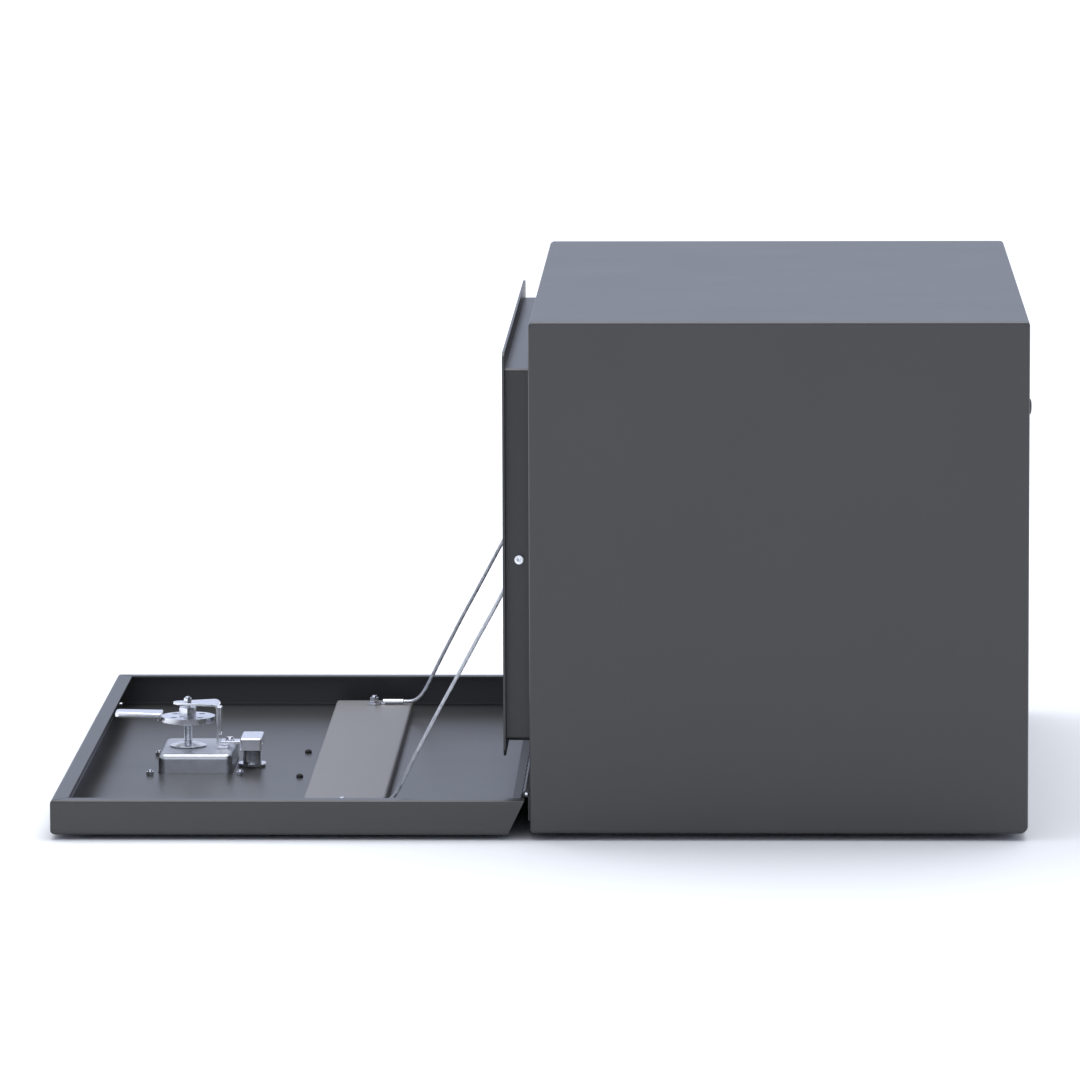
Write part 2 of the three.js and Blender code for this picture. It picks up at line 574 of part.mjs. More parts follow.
function doorPan() {
  const lipMiddle = RIM - HALF_SHEET;
  const skinMiddle = SKIN + HALF_SHEET;
  const edgeMiddle = -DOOR_REACH + HALF_SHEET;
  const bend = DOOR_BEND - HALF_SHEET;
  const upperEnd = [
    slopeIn.x * SLOPE_OFFSET + slopeDown.x * SLOPE_START,
    slopeIn.y * SLOPE_OFFSET + slopeDown.y * SLOPE_START,
  ];
  const along = [
    [-DOOR_REACH + DOOR_LIP, lipMiddle],
    [edgeMiddle, lipMiddle],
    [edgeMiddle, skinMiddle],
    slopeAt(skinMiddle, 0),
    upperEnd,
  ];
  const across = (side) => [
    [side * (DOOR_HALF - 2 * DOOR_BEND), skinMiddle],
    [side * (DOOR_HALF - HALF_SHEET), skinMiddle],
    [side * (DOOR_HALF - HALF_SHEET), lipMiddle],
    [side * (DOOR_HALF - DOOR_LIP), lipMiddle],
  ];
  const outline = new THREE.Shape();
  outline.moveTo(...slopeAt(SKIN, HALF_SHEET - GAP));
  outline.lineTo(...slopeAt(RIM, HALF_SHEET - GAP));
  outline.lineTo(-DOOR_REACH + DOOR_BEND, RIM);
  outline.absarc(-DOOR_REACH + DOOR_BEND, RIM - DOOR_BEND, DOOR_BEND, Math.PI / 2, Math.PI);
  outline.absarc(-DOOR_REACH + DOOR_BEND, SKIN + DOOR_BEND, DOOR_BEND, Math.PI, 1.5 * Math.PI);
  const ends = roundedRectangle(-DOOR_HALF, SKIN, DOOR_HALF, RIM, DOOR_BEND);
  const endPlaces = [-DOOR_HALF + HALF_SHEET, DOOR_HALF - HALF_SHEET];
  const lengthwise = extrude(bentStrip(along, SHEET, bend), "y", ...endPlaces)
    .intersect(extrude(ends, "x", -DOOR_REACH - THROUGH, THROUGH));
  const profile = extrude(outline, "y", -DOOR_HALF - THROUGH, DOOR_HALF + THROUGH);
  const sideWalls = Object.values(SIDES).map((side) =>
    extrude(bentStrip(across(side), SHEET, bend), "x", -DOOR_REACH + HALF_SHEET, 0).intersect(profile),
  );
  const slits = Object.values(SIDES).map((side) => {
    const wide = [-CORNER_SLIT / 2, CORNER_SLIT / 2];
    const slit = block([-THROUGH, 1.5 * DOOR_LIP], wide, [RIM - 2 * SHEET - THROUGH, RIM + THROUGH]);
    const corner = [-DOOR_REACH + SHEET, side * (DOOR_HALF - SHEET), 0];
    return slit.rotate([0, 0, -side * 45]).translate(corner);
  });
  const throughFloor = [SKIN - THROUGH, FLOOR + THROUGH];
  const floorHole = (at, radius, sides) => rod("z", at, radius, ...throughFloor, sides);
  const reliefs = Object.values(SIDES).map((side) =>
    floorHole([-DOOR_REACH + SHEET, side * (DOOR_HALF - SHEET)], CORNER_RELIEF_RADIUS, 16),
  );
  const holesX = -CHANNEL_FROM_PIN - CHANNEL_WIDTH - FLOOR_HOLE_FROM_CHANNEL;
  const floorHoles = Object.values(SIDES).map((side) =>
    floorHole([holesX, (side * FLOOR_HOLE_SPACING) / 2], FLOOR_HOLE_RADIUS, 16),
  );
  const dishHole = extrude(dishOutline(2 * GAP), "z", ...throughFloor).translate([studX, 0, 0]);
  const boltHoles = latchBolts().map(([x, y]) => floorHole([studX + x, y], LATCH_BOLT_RADIUS + GAP, 12));
  const lockHole = floorHole([studX + LOCK_FROM_STUD, LOCK_SIDE], LOCK_RADIUS + GAP, 24);
  const openings = [...slits, ...reliefs, ...floorHoles, dishHole, ...boltHoles, lockHole];
  return cut(join(lengthwise, ...sideWalls), ...openings).simplify(SLIVER);
}

const dishOutline = (grow) =>
  roundedRectangle(
    -DISH_FRONT - grow, -DISH_HALF_WIDTH - grow, DISH_BACK + grow, DISH_HALF_WIDTH + grow,
    DISH_CORNER + grow,
  );

const latchBolts = () =>
  [-LATCH_BOLT_FRONT, LATCH_BOLT_BACK].flatMap((x) => [
    [x, -LATCH_BOLT_SIDE],
    [x, LATCH_BOLT_SIDE],
  ]);

function stiffenerChannel() {
  const near = -CHANNEL_FROM_PIN;
  const far = near - CHANNEL_WIDTH;
  const section = bentStrip(
    [
      [far + HALF_SHEET, FLOOR + GAP],
      [far + HALF_SHEET, FLOOR + CHANNEL_HEIGHT - HALF_SHEET],
      [near - HALF_SHEET, FLOOR + CHANNEL_HEIGHT - HALF_SHEET],
      [near - HALF_SHEET, FLOOR + GAP],
    ],
    SHEET, 2,
  );
  const half = HALF_WIDTH - CHANNEL_END_INSET;
  const throughTop = [FLOOR + CHANNEL_HEIGHT - SHEET - THROUGH, FLOOR + CHANNEL_HEIGHT + THROUGH];
  const holes = Object.values(SIDES).map((side) =>
    rod("z", [-CABLE_BOLT_FROM_PIN, side * boltSide], STAY_BOLT_RADIUS + GAP, ...throughTop, 16),
  );
  return cut(extrude(section, "y", -half, half), ...holes);
}

add(door, "door_pan", doorPan(), FINISHES.blackPaint);
add(door, "stiffener_channel", stiffenerChannel(), FINISHES.channelPaint);
add(door, "hinge_door_leaf", hingeLeaf(1, SLOPE_ANGLE, -1), FINISHES.blackPaint);

for (const [name, side] of Object.entries(SIDES)) {
  const at = [-CABLE_BOLT_FROM_PIN, side * boltSide];
  const seat = FLOOR + CHANNEL_HEIGHT;
  const eyeTop = seat + GAP + EYE_SHEET;
  const under = seat - SHEET - GAP;
  const bolt = join(
    hexBar("z", at, NUT_ACROSS_FLATS, under - CABLE_BOLT_HEAD, under),
    rod("z", at, STAY_BOLT_RADIUS, under - 1, eyeTop + GAP + NUT_HEIGHT + STAY_BOLT_PAST_NUT, 16),
  );
  add(door, name + "_cable_bolt", bolt, FINISHES.zinc);
  const nut = nutOn(at, NUT_ACROSS_FLATS, STAY_BOLT_RADIUS, eyeTop + GAP, NUT_HEIGHT);
  add(door, name + "_cable_nut", nut, FINISHES.zinc);
  const lower = new THREE.Group();
  lower.position.set(at[0], at[1], eyeTop);
  door.add(lower);
  add(lower, name + "_lower_cable_end", cableEye(0), FINISHES.zinc);
}

// ---- latch: a frame on the stud's axis, level with the door's inner face ----
const latch = new THREE.Group();
latch.position.set(studX, 0, FLOOR);
door.add(latch);
const plateUnder = -SHEET - DISH_SHEET - 2 * GAP; // where bolts and the lock seat on the plate

function latchDish() {
  const plateTop = -SHEET - GAP;
  const dish = (inset) =>
    extrude(
      dishOutline(-inset), "z", -DISH_HEIGHT, DISH_HEIGHT - inset,
      { radius: DISH_SHOULDER - inset, steps: 3 },
    );
  const wide = [-PLATE_BACK, PLATE_BACK];
  const above = block(wide, wide, [plateTop - DISH_SHEET, DISH_HEIGHT + THROUGH]);
  const plate = extrude(
    roundedRectangle(-PLATE_FRONT, -PLATE_HALF_WIDTH, PLATE_BACK, PLATE_HALF_WIDTH, PLATE_CORNER),
    "z", plateTop - DISH_SHEET, plateTop,
  );
  const throughPlate = [plateTop - DISH_SHEET - THROUGH, plateTop + THROUGH];
  const holes = latchBolts().map((at) => rod("z", at, LATCH_BOLT_RADIUS + GAP, ...throughPlate, 12));
  const lockHole = rod("z", [LOCK_FROM_STUD, LOCK_SIDE], LOCK_RADIUS + GAP, ...throughPlate, 24);
  const studHole = rod("z", [0, 0], STUD_RADIUS + GAP, 0, DISH_HEIGHT + THROUGH, 20);
  const outside = join(plate, dish(0).intersect(above));
  return cut(outside, dish(DISH_SHEET), ...holes, lockHole, studHole);
}

function latchBracket() {
  const half = BRACKET_SHEET / 2;
  const section = bentStrip(
    [
      [BRACKET_LEG + BRACKET_FOOT, DISH_HEIGHT + GAP + half],
      [BRACKET_LEG, DISH_HEIGHT + GAP + half],
      [BRACKET_LEG, BRACKET_TOP - half],
      [-BRACKET_REACH, BRACKET_TOP - half],
    ],
    BRACKET_SHEET, [2, 4],
  );
  const wide = BRACKET_WIDTH / 2;
  const heel = BRACKET_LEG + BRACKET_FOOT + THROUGH;
  const shoulder = BRACKET_LEG - BRACKET_SHOULDER;
  const tip = BRACKET_TIP_RADIUS;
  const plan = new THREE.Shape();
  plan.moveTo(heel, -wide);
  plan.lineTo(heel, wide);
  plan.lineTo(shoulder, wide);
  plan.lineTo(-BRACKET_REACH + tip, tip);
  plan.absarc(-BRACKET_REACH + tip, 0, tip, Math.PI / 2, 1.5 * Math.PI);
  plan.lineTo(shoulder, -wide);
  const bent = extrude(section, "y", -wide, wide).intersect(extrude(plan, "z", 0, BRACKET_TOP + THROUGH));
  return withHole(bent, "z", [0, 0], STUD_TIP_RADIUS + GAP, DISH_HEIGHT, BRACKET_TOP);
}

function bowSpring() {
  const low = DISH_HEIGHT + GAP + SPRING_SHEET / 2;
  const high = low + SPRING_RISE;
  const bend = 30; // a wide bend, so the leaf is curved for most of its length
  const ends = SPRING_HALF_LENGTH;
  const section = bentStrip([[-ends, high], [0, low], [ends, high]], SPRING_SHEET, bend, 6);
  const plan = new THREE.Shape();
  plan.absellipse(0, 0, ends, SPRING_WIDTH / 2, 0, 2 * Math.PI);
  const upright = [DISH_HEIGHT, high + SPRING_SHEET];
  const leaf = extrude(section, "y", -SPRING_WIDTH, SPRING_WIDTH).intersect(extrude(plan, "z", ...upright));
  return withHole(leaf, "z", [0, 0], STUD_RADIUS + GAP, ...upright);
}

add(latch, "latch_dish", latchDish(), FINISHES.stainless);
add(latch, "latch_bracket", latchBracket(), FINISHES.zinc);
add(latch, "bow_spring", bowSpring(), FINISHES.zinc);
latchBolts().forEach((at, i) => {
  const low = plateUnder - LATCH_BOLT_HEAD_HEIGHT;
  const head = rod("z", at, LATCH_BOLT_HEAD * 0.7, low, plateUnder, 20, LATCH_BOLT_HEAD);
  const shank = rod("z", at, LATCH_BOLT_RADIUS, plateUnder - GAP, LATCH_BOLT_TOP, 12);
  add(latch, "latch_bolt_" + (i + 1), join(head, shank), FINISHES.zinc);
  const nut = nutOn(at, LATCH_NUT_ACROSS_FLATS, LATCH_BOLT_RADIUS, GAP, LATCH_NUT_HEIGHT);
  add(latch, "latch_nut_" + (i + 1), nut, FINISHES.zinc);
});

// Stud, cam disc and cam arm turn together.
function latchStud() {
  const bossTop = DISH_HEIGHT - DISH_SHEET - GAP;
  const bossLow = HANDLE_PIN_HEIGHT + SHAFT_TONGUE_RADIUS;
  const half = SHAFT_TONGUE / 2;
  const tongue = join(
    rod("y", [0, HANDLE_PIN_HEIGHT], SHAFT_TONGUE_RADIUS, -half, half, 24),
    block([-SHAFT_TONGUE_RADIUS, SHAFT_TONGUE_RADIUS], [-half, half], [HANDLE_PIN_HEIGHT, bossLow + 1]),
  );
  const whole = join(
    rod("z", [0, 0], SHAFT_BOSS_RADIUS, bossLow, bossTop, 24),
    rod("z", [0, 0], STUD_RADIUS, bossTop - 1, STUD_TOP, 20),
    rod("z", [0, 0], STUD_TIP_RADIUS, STUD_TOP - 1, STUD_TIP_TOP, 16),
    tongue,
  );
  return cut(whole, rod("y", [0, HANDLE_PIN_HEIGHT], HANDLE_PIN_RADIUS + GAP, -9, 9, 16));
}

function camDisc() {
  const low = DISC_TOP - DISC_THICKNESS;
  const plate = rod("z", [0, 0], DISC_RADIUS, low, DISC_TOP, 48);
  const through = [low - THROUGH, DISC_TOP + THROUGH];
  const holes = DISC_HOLES_AT.map((degrees) => {
    const angle = THREE.MathUtils.degToRad(degrees);
    const at = [DISC_HOLES_OUT * Math.cos(angle), DISC_HOLES_OUT * Math.sin(angle)];
    return rod("z", at, DISC_HOLE_RADIUS, ...through, 16);
  });
  return cut(plate, rod("z", [0, 0], STUD_RADIUS + GAP, ...through, 20), ...holes);
}

function camArm() {
  const low = DISC_TOP + GAP;
  const middle = low + ARM_THICKNESS / 2;
  const root = -ARM_ROOT + ARM_OVERLAP;
  const rise = middle + ARM_RISE;
  const bend = [-DISC_RADIUS - SHEET, middle];
  const section = bentStrip([[root, middle], bend, [-ARM_REACH, rise]], ARM_THICKNESS, 10);
  const wide = ARM_WIDTH / 2;
  const tipWide = ARM_TIP_WIDTH / 2;
  const chamfer = ARM_TIP_CHAMFER;
  const halfPlan = [
    [root, wide],
    [-DISC_RADIUS, wide],
    [-ARM_REACH + chamfer, tipWide],
    [-ARM_REACH, tipWide - chamfer],
  ];
  const mirrored = halfPlan.map(([x, y]) => [x, -y]).reverse();
  const plan = new THREE.Shape([...halfPlan, ...mirrored].map(([x, y]) => new THREE.Vector2(x, y)));
  const upright = [low - THROUGH, rise + ARM_THICKNESS];
  return extrude(section, "y", -ARM_WIDTH, ARM_WIDTH).intersect(extrude(plan, "z", ...upright));
}

add(latch, "latch_stud", latchStud(), FINISHES.zinc);
add(latch, "cam_disc", camDisc(), FINISHES.zinc);
add(latch, "cam_arm", camArm(), FINISHES.zinc);
const hubNut = nutOn([0, 0], HUB_ACROSS_FLATS, STUD_RADIUS, DISC_TOP + GAP, HUB_HEIGHT);
add(latch, "hub_nut", hubNut, FINISHES.zinc);
const topNutLow = BRACKET_TOP + GAP;
const topNut = nutOn([0, 0], TOP_NUT_ACROSS_FLATS, STUD_TIP_RADIUS, topNutLow, TOP_NUT_HEIGHT);
add(latch, "stud_top_nut", topNut, FINISHES.zinc);

// The folded handle lies in the dish, its fork round the shaft's tongue.
function tHandle() {
  const inner = SHAFT_TONGUE / 2 + GAP;
  const outer = inner + FORK_LEG;
  const legs = [[-outer, -inner], [inner, outer]].map((span) =>
    join(
      rod("y", [0, 0], FORK_RADIUS, ...span, 20),
      block([0, FORK_THROAT], span, [-FORK_RADIUS, FORK_RADIUS - 1]),
    ),
  );
  const half = HANDLE_THICKNESS / 2;
  const barStart = HANDLE_REACH - HANDLE_BAR_WIDTH;
  const stem = block([FORK_THROAT - 2, barStart + 2], [-outer, outer], [-half, half]);
  const bar = extrude(
    roundedRectangle(barStart, -HANDLE_HALF_LENGTH, HANDLE_REACH, HANDLE_HALF_LENGTH, HANDLE_CORNER),
    "z", -half, half, { radius: HANDLE_EDGE, steps: 2 },
  );
  const throat = rod("y", [0, 0], SHAFT_TONGUE_RADIUS + GAP * 2, -inner, inner, 24);
  const bore = rod("y", [0, 0], HANDLE_PIN_RADIUS + GAP / 2, -outer - THROUGH, outer + THROUGH, 16);
  return cut(join(...legs, stem, bar), throat, bore);
}

const handle = new THREE.Group();
handle.position.z = HANDLE_PIN_HEIGHT;
latch.add(handle);
add(handle, "t_handle", tHandle(), FINISHES.stainless);
const pinHalf = SHAFT_TONGUE / 2 + GAP + FORK_LEG;
const handlePin = rod("y", [0, 0], HANDLE_PIN_RADIUS - GAP / 2, -pinHalf, pinHalf, 16);
add(handle, "handle_pin", handlePin, FINISHES.zinc);

// ---- key lock ----
const lock = new THREE.Group();
lock.position.set(LOCK_FROM_STUD, LOCK_SIDE, 0);
latch.add(lock);
const lockFace = plateUnder - LOCK_FLANGE;
const barrel = join(
  rod("z", [0, 0], LOCK_RADIUS, plateUnder - GAP, LOCK_TOP, 28),
  rod("z", [0, 0], LOCK_FLANGE_RADIUS, lockFace, plateUnder, 28),
);
add(lock, "lock_housing", withHole(barrel, "z", [0, 0], LOCK_BORE, lockFace, LOCK_TOP), FINISHES.stainless);
const ringNut = rod("z", [0, 0], RING_NUT_RADIUS, GAP, GAP + RING_NUT_HEIGHT, 32);
const boredRing = withHole(ringNut, "z", [0, 0], LOCK_RADIUS + GAP, GAP, GAP + RING_NUT_HEIGHT);
add(lock, "lock_ring_nut", boredRing, FINISHES.zinc);
const plug = rod("z", [0, 0], PLUG_RADIUS, lockFace + GAP, LOCK_TOP - GAP, 24);
const [slotAcross, slotLong, slotDeep] = KEY_SLOT;
const keyway = block(
  [-slotAcross / 2, slotAcross / 2], [-slotLong / 2, slotLong / 2],
  [lockFace - THROUGH, lockFace + slotDeep],
);
add(lock, "lock_plug", cut(plug, keyway), FINISHES.stainless);

const [blockX, blockY, blockZ] = LOCK_BLOCK;
const blockLow = LOCK_TOP + GAP;
const shell = extrude(
  roundedRectangle(-blockX / 2, -blockY / 2, blockX / 2, blockY / 2, LOCK_BLOCK_CORNER),
  "z", 0, blockLow + blockZ, { radius: LOCK_BLOCK_EDGE, steps: 2 },
).intersect(block([-blockX, blockX], [-blockY, blockY], [blockLow, blockLow + blockZ + THROUGH]));
const slotHalf = TONGUE_WIDTH / 2 + GAP;
const slotUpright = [TONGUE_BOTTOM - GAP, TONGUE_BOTTOM + TONGUE_THICKNESS + GAP];
const slot = block([-blockX, blockX], [-slotHalf, slotHalf], slotUpright);
add(lock, "lock_block", cut(shell, slot), FINISHES.zinc);

const tongue = block(
  [TONGUE_TIP - LOCK_FROM_STUD, TONGUE_TIP - LOCK_FROM_STUD + TONGUE_LENGTH],
  [-TONGUE_WIDTH / 2, TONGUE_WIDTH / 2], [TONGUE_BOTTOM, TONGUE_BOTTOM + TONGUE_THICKNESS],
);
add(lock, "lock_tongue", tongue, FINISHES.zinc);
const screwAt = [TONGUE_SCREW_AT - LOCK_FROM_STUD, 0];
const screwSeat = TONGUE_BOTTOM + TONGUE_THICKNESS + GAP;
const screwTop = screwSeat + TONGUE_SCREW_HEIGHT;
const screw = rod("z", screwAt, TONGUE_SCREW_RADIUS, screwSeat, screwTop, 20, TONGUE_SCREW_RADIUS * 0.7);
add(lock, "tongue_screw", screw, FINISHES.zinc);

export default box;
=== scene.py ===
"""A black steel drop-door storage box: its looks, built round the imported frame."""
import json
import math

import bmesh
import bpy
from mathutils import Matrix, Vector


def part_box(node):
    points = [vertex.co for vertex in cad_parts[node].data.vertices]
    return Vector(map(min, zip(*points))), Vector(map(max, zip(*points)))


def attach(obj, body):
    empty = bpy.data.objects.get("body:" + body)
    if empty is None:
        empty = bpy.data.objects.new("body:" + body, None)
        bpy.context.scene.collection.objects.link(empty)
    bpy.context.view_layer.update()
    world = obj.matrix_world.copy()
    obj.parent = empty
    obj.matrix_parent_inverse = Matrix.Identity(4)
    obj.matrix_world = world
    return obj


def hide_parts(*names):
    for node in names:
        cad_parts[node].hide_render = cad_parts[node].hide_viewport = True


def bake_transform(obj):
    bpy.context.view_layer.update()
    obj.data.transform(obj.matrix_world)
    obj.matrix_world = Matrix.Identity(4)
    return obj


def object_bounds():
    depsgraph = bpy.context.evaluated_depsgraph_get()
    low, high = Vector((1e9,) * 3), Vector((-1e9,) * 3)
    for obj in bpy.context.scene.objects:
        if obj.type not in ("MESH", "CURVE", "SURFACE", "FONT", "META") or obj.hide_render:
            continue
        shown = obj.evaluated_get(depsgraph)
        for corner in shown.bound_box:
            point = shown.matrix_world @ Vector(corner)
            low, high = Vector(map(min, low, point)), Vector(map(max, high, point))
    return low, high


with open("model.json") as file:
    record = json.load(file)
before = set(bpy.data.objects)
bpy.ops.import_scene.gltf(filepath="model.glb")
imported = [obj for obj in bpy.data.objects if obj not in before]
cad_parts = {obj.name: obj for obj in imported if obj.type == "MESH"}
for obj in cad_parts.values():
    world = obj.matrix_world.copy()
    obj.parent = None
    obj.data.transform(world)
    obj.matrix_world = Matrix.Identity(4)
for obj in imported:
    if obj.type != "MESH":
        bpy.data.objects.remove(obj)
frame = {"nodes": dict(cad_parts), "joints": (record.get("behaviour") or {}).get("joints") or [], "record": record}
CAD_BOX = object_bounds()

MM = 0.001
X_AXIS, Y_AXIS, Z_AXIS = Vector((1, 0, 0)), Vector((0, 1, 0)), Vector((0, 0, 1))
SIDES = {"right": -1, "left": 1}
JOINTS = {joint["name"]: joint for joint in frame["joints"]}

# ---- places read from the frame ----
PIN = Vector(JOINTS["door_hinge"]["pos_m"])
STUD = Vector(JOINTS["latch_turn"]["pos_m"])
HANDLE_PIN = Vector(JOINTS["handle_fold"]["pos_m"])
LOCK = Vector(JOINTS["lock_turn"]["pos_m"])
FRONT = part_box("front_panel")[0].x
HALF_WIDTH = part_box("left_end_panel")[1].y


# ---- camera, light and floor ----
LENS = 262.3
CAMERA_AT = (-0.0203, -7.282, 1.182)
# degrees below level, and to the left
CAMERA_TILT = 7.58
CAMERA_TURN = 1.571


def make_camera():
    """A long lens, level with the box's right end and a little above it."""
    data = bpy.data.cameras.new("camera")
    data.sensor_width = 36.0
    data.lens = LENS
    data.clip_end = 50.0
    camera = bpy.data.objects.new("camera", data)
    bpy.context.scene.collection.objects.link(camera)
    camera.location = CAMERA_AT
    looking_down = Matrix.Rotation(math.radians(90 - CAMERA_TILT), 3, "X")
    turned_left = Matrix.Rotation(math.radians(CAMERA_TURN), 3, "Y")
    camera.rotation_euler = (looking_down @ turned_left).to_euler()
    bpy.context.scene.camera = camera


def area_light(name, place, target, size, power, colour=(1, 1, 1)):
    """A soft rectangular light, this many metres by that, turned towards a target."""
    data = bpy.data.lights.new(name, "AREA")
    data.shape = "RECTANGLE"
    data.size, data.size_y = size
    data.energy = power
    data.color = colour
    light = bpy.data.objects.new(name, data)
    bpy.context.scene.collection.objects.link(light)
    light.location = place
    light.rotation_euler = (Vector(target) - Vector(place)).to_track_quat("-Z", "Y").to_euler()


# height in the sky, from 0 straight down to 1 straight up, and the light that comes from there
GROUND_GLOW = (0.10, 0.10, 0.10, 1)
ZENITH_GLOW = (0.90, 0.93, 1.0, 1)
WORLD_BANDS = [
    (0.46, (0.20, 0.20, 0.20, 1)), (0.50, (0.44, 0.48, 0.60, 1)), (0.56, (0.66, 0.73, 0.97, 1)),
    (0.75, (0.66, 0.70, 0.80, 1)),
]


def make_world():
    """A soft studio: white where the camera looks, cool and even where the metal looks."""
    world = bpy.data.worlds.new("studio")
    world.use_nodes = True
    bpy.context.scene.world = world
    nodes, links = world.node_tree.nodes, world.node_tree.links
    nodes.clear()
    out = nodes.new("ShaderNodeOutputWorld")
    seen = nodes.new("ShaderNodeBackground")
    seen.inputs["Color"].default_value = (1, 1, 1, 1)
    seen.inputs["Strength"].default_value = 1.0
    lit = nodes.new("ShaderNodeBackground")
    lit.inputs["Strength"].default_value = 1.0
    place = nodes.new("ShaderNodeTexCoord")
    split = nodes.new("ShaderNodeSeparateXYZ")
    ramp = nodes.new("ShaderNodeValToRGB")
    upward = nodes.new("ShaderNodeMapRange")
    upward.inputs["From Min"].default_value = -1.0
    links.new(place.outputs["Generated"], split.inputs[0])
    links.new(split.outputs["Z"], upward.inputs["Value"])
    links.new(upward.outputs["Result"], ramp.inputs["Fac"])
    stops = ramp.color_ramp.elements
    stops[0].position, stops[0].color = 0.0, GROUND_GLOW
    stops[1].position, stops[1].color = 1.0, ZENITH_GLOW
    for position, colour in WORLD_BANDS:
        stops.new(position).color = colour
    links.new(ramp.outputs["Color"], lit.inputs["Color"])
    rays = nodes.new("ShaderNodeLightPath")
    mix = nodes.new("ShaderNodeMixShader")
    links.new(rays.outputs["Is Camera Ray"], mix.inputs[0])
    links.new(lit.outputs[0], mix.inputs[1])
    links.new(seen.outputs[0], mix.inputs[2])
    links.new(mix.outputs[0], out.inputs["Surface"])


FLOOR_HALF = 30
FLOOR_GAP = 0.5 * MM
# the floor glows only far away: from the first distance on, and fully past the second
GLOW_FROM, GLOW_TO = 0.8, 2.4
GLOW_FULL = 0.36


def make_floor():
    """A pale floor just under the lowest bolt heads."""
    shape = bmesh.new()
    bmesh.ops.create_grid(shape, x_segments=1, y_segments=1, size=FLOOR_HALF)
    bmesh.ops.translate(shape, verts=shape.verts, vec=(0, 0, CAD_BOX[0][2] - FLOOR_GAP))
    floor = new_object("floor", shape)
    material = bpy.data.materials.new("pale_floor")
    material.use_nodes = True
    shader = material.node_tree.nodes["Principled BSDF"]
    shader.inputs["Base Color"].default_value = (0.93, 0.93, 0.93, 1)
    shader.inputs["Roughness"].default_value = 0.9
    shader.inputs["Specular IOR Level"].default_value = 0.1
    shader.inputs["Emission Color"].default_value = (1, 1, 1, 1)
    nodes, links = material.node_tree.nodes, material.node_tree.links
    place = nodes.new("ShaderNodeTexCoord")
    distance = nodes.new("ShaderNodeVectorMath")
    distance.operation = "LENGTH"
    glow = nodes.new("ShaderNodeMapRange")
    glow.inputs["From Min"].default_value = GLOW_FROM
    glow.inputs["From Max"].default_value = GLOW_TO
    glow.inputs["To Max"].default_value = GLOW_FULL
    links.new(place.outputs["Object"], distance.inputs[0])
    links.new(distance.outputs["Value"], glow.inputs["Value"])
    links.new(glow.outputs["Result"], shader.inputs["Emission Strength"])
    floor.data.materials.append(material)


def new_object(name, shape):
    """A mesh object at the origin made from a bmesh, which is freed."""
    mesh = bpy.data.meshes.new(name)
    shape.to_mesh(mesh)
    shape.free()
    made = bpy.data.objects.new(name, mesh)
    bpy.context.scene.collection.objects.link(made)
    return made


make_camera()
make_world()
area_light("overhead", (-0.2, 0.5, 3.0), (-0.1, 0, 0.2), (3.0, 2.6), 70, (0.93, 0.96, 1.0))
area_light("near_fill", (-0.6, -4.5, 1.6), (-0.1, 0, 0.2), (3.0, 1.6), 10)
make_floor()
bpy.context.scene.view_settings.view_transform = "Standard"


# ---- finishes ----
def start_material(name, colour, metallic, roughness):
    """A Principled material with its even values set, and Object coordinates to build patterns on."""
    material = bpy.data.materials.new(name)
    material.use_nodes = True
    nodes = material.node_tree.nodes
    shader = nodes["Principled BSDF"]
    shader.inputs["Base Color"].default_value = (*colour, 1)
    shader.inputs["Metallic"].default_value = metallic
    shader.inputs["Roughness"].default_value = roughness
    place = nodes.new("ShaderNodeTexCoord")
    return material, shader, place.outputs["Object"]


def noise(material, coordinates, scale, detail=3.0, stretch=(1, 1, 1)):
    """A noise pattern's value, with so many cells to the metre along each axis."""
    nodes, links = material.node_tree.nodes, material.node_tree.links
    mapping = nodes.new("ShaderNodeMapping")
    mapping.inputs["Scale"].default_value = stretch
    pattern = nodes.new("ShaderNodeTexNoise")
    pattern.inputs["Scale"].default_value = scale
    pattern.inputs["Detail"].default_value = detail
    links.new(coordinates, mapping.inputs["Vector"])
    links.new(mapping.outputs["Vector"], pattern.inputs["Vector"])
    return pattern.outputs["Fac"]


def spread(material, value, low, high):
    """A pattern's value turned into a range of numbers."""
    node = material.node_tree.nodes.new("ShaderNodeMapRange")
    node.inputs["From Min"].default_value = 0.3
    node.inputs["From Max"].default_value = 0.7
    node.inputs["To Min"].default_value = low
    node.inputs["To Max"].default_value = high
    material.node_tree.links.new(value, node.inputs["Value"])
    return node.outputs["Result"]


def vary_colour(material, shader, value, dark, light):
    """The base colour runs between two shades with a pattern."""
    nodes, links = material.node_tree.nodes, material.node_tree.links
    ramp = nodes.new("ShaderNodeValToRGB")
    ramp.color_ramp.elements[0].position = 0.35
    ramp.color_ramp.elements[0].color = (*dark, 1)
    ramp.color_ramp.elements[1].position = 0.68
    ramp.color_ramp.elements[1].color = (*light, 1)
    links.new(value, ramp.inputs["Fac"])
    links.new(ramp.outputs["Color"], shader.inputs["Base Color"])


def roughen(material, shader, value, distance, strength=1.0):
    """Bump, in metres of height, from a pattern."""
    nodes, links = material.node_tree.nodes, material.node_tree.links
    bump = nodes.new("ShaderNodeBump")
    bump.inputs["Strength"].default_value = strength
    bump.inputs["Distance"].default_value = distance
    links.new(value, bump.inputs["Height"])
    links.new(bump.outputs["Normal"], shader.inputs["Normal"])


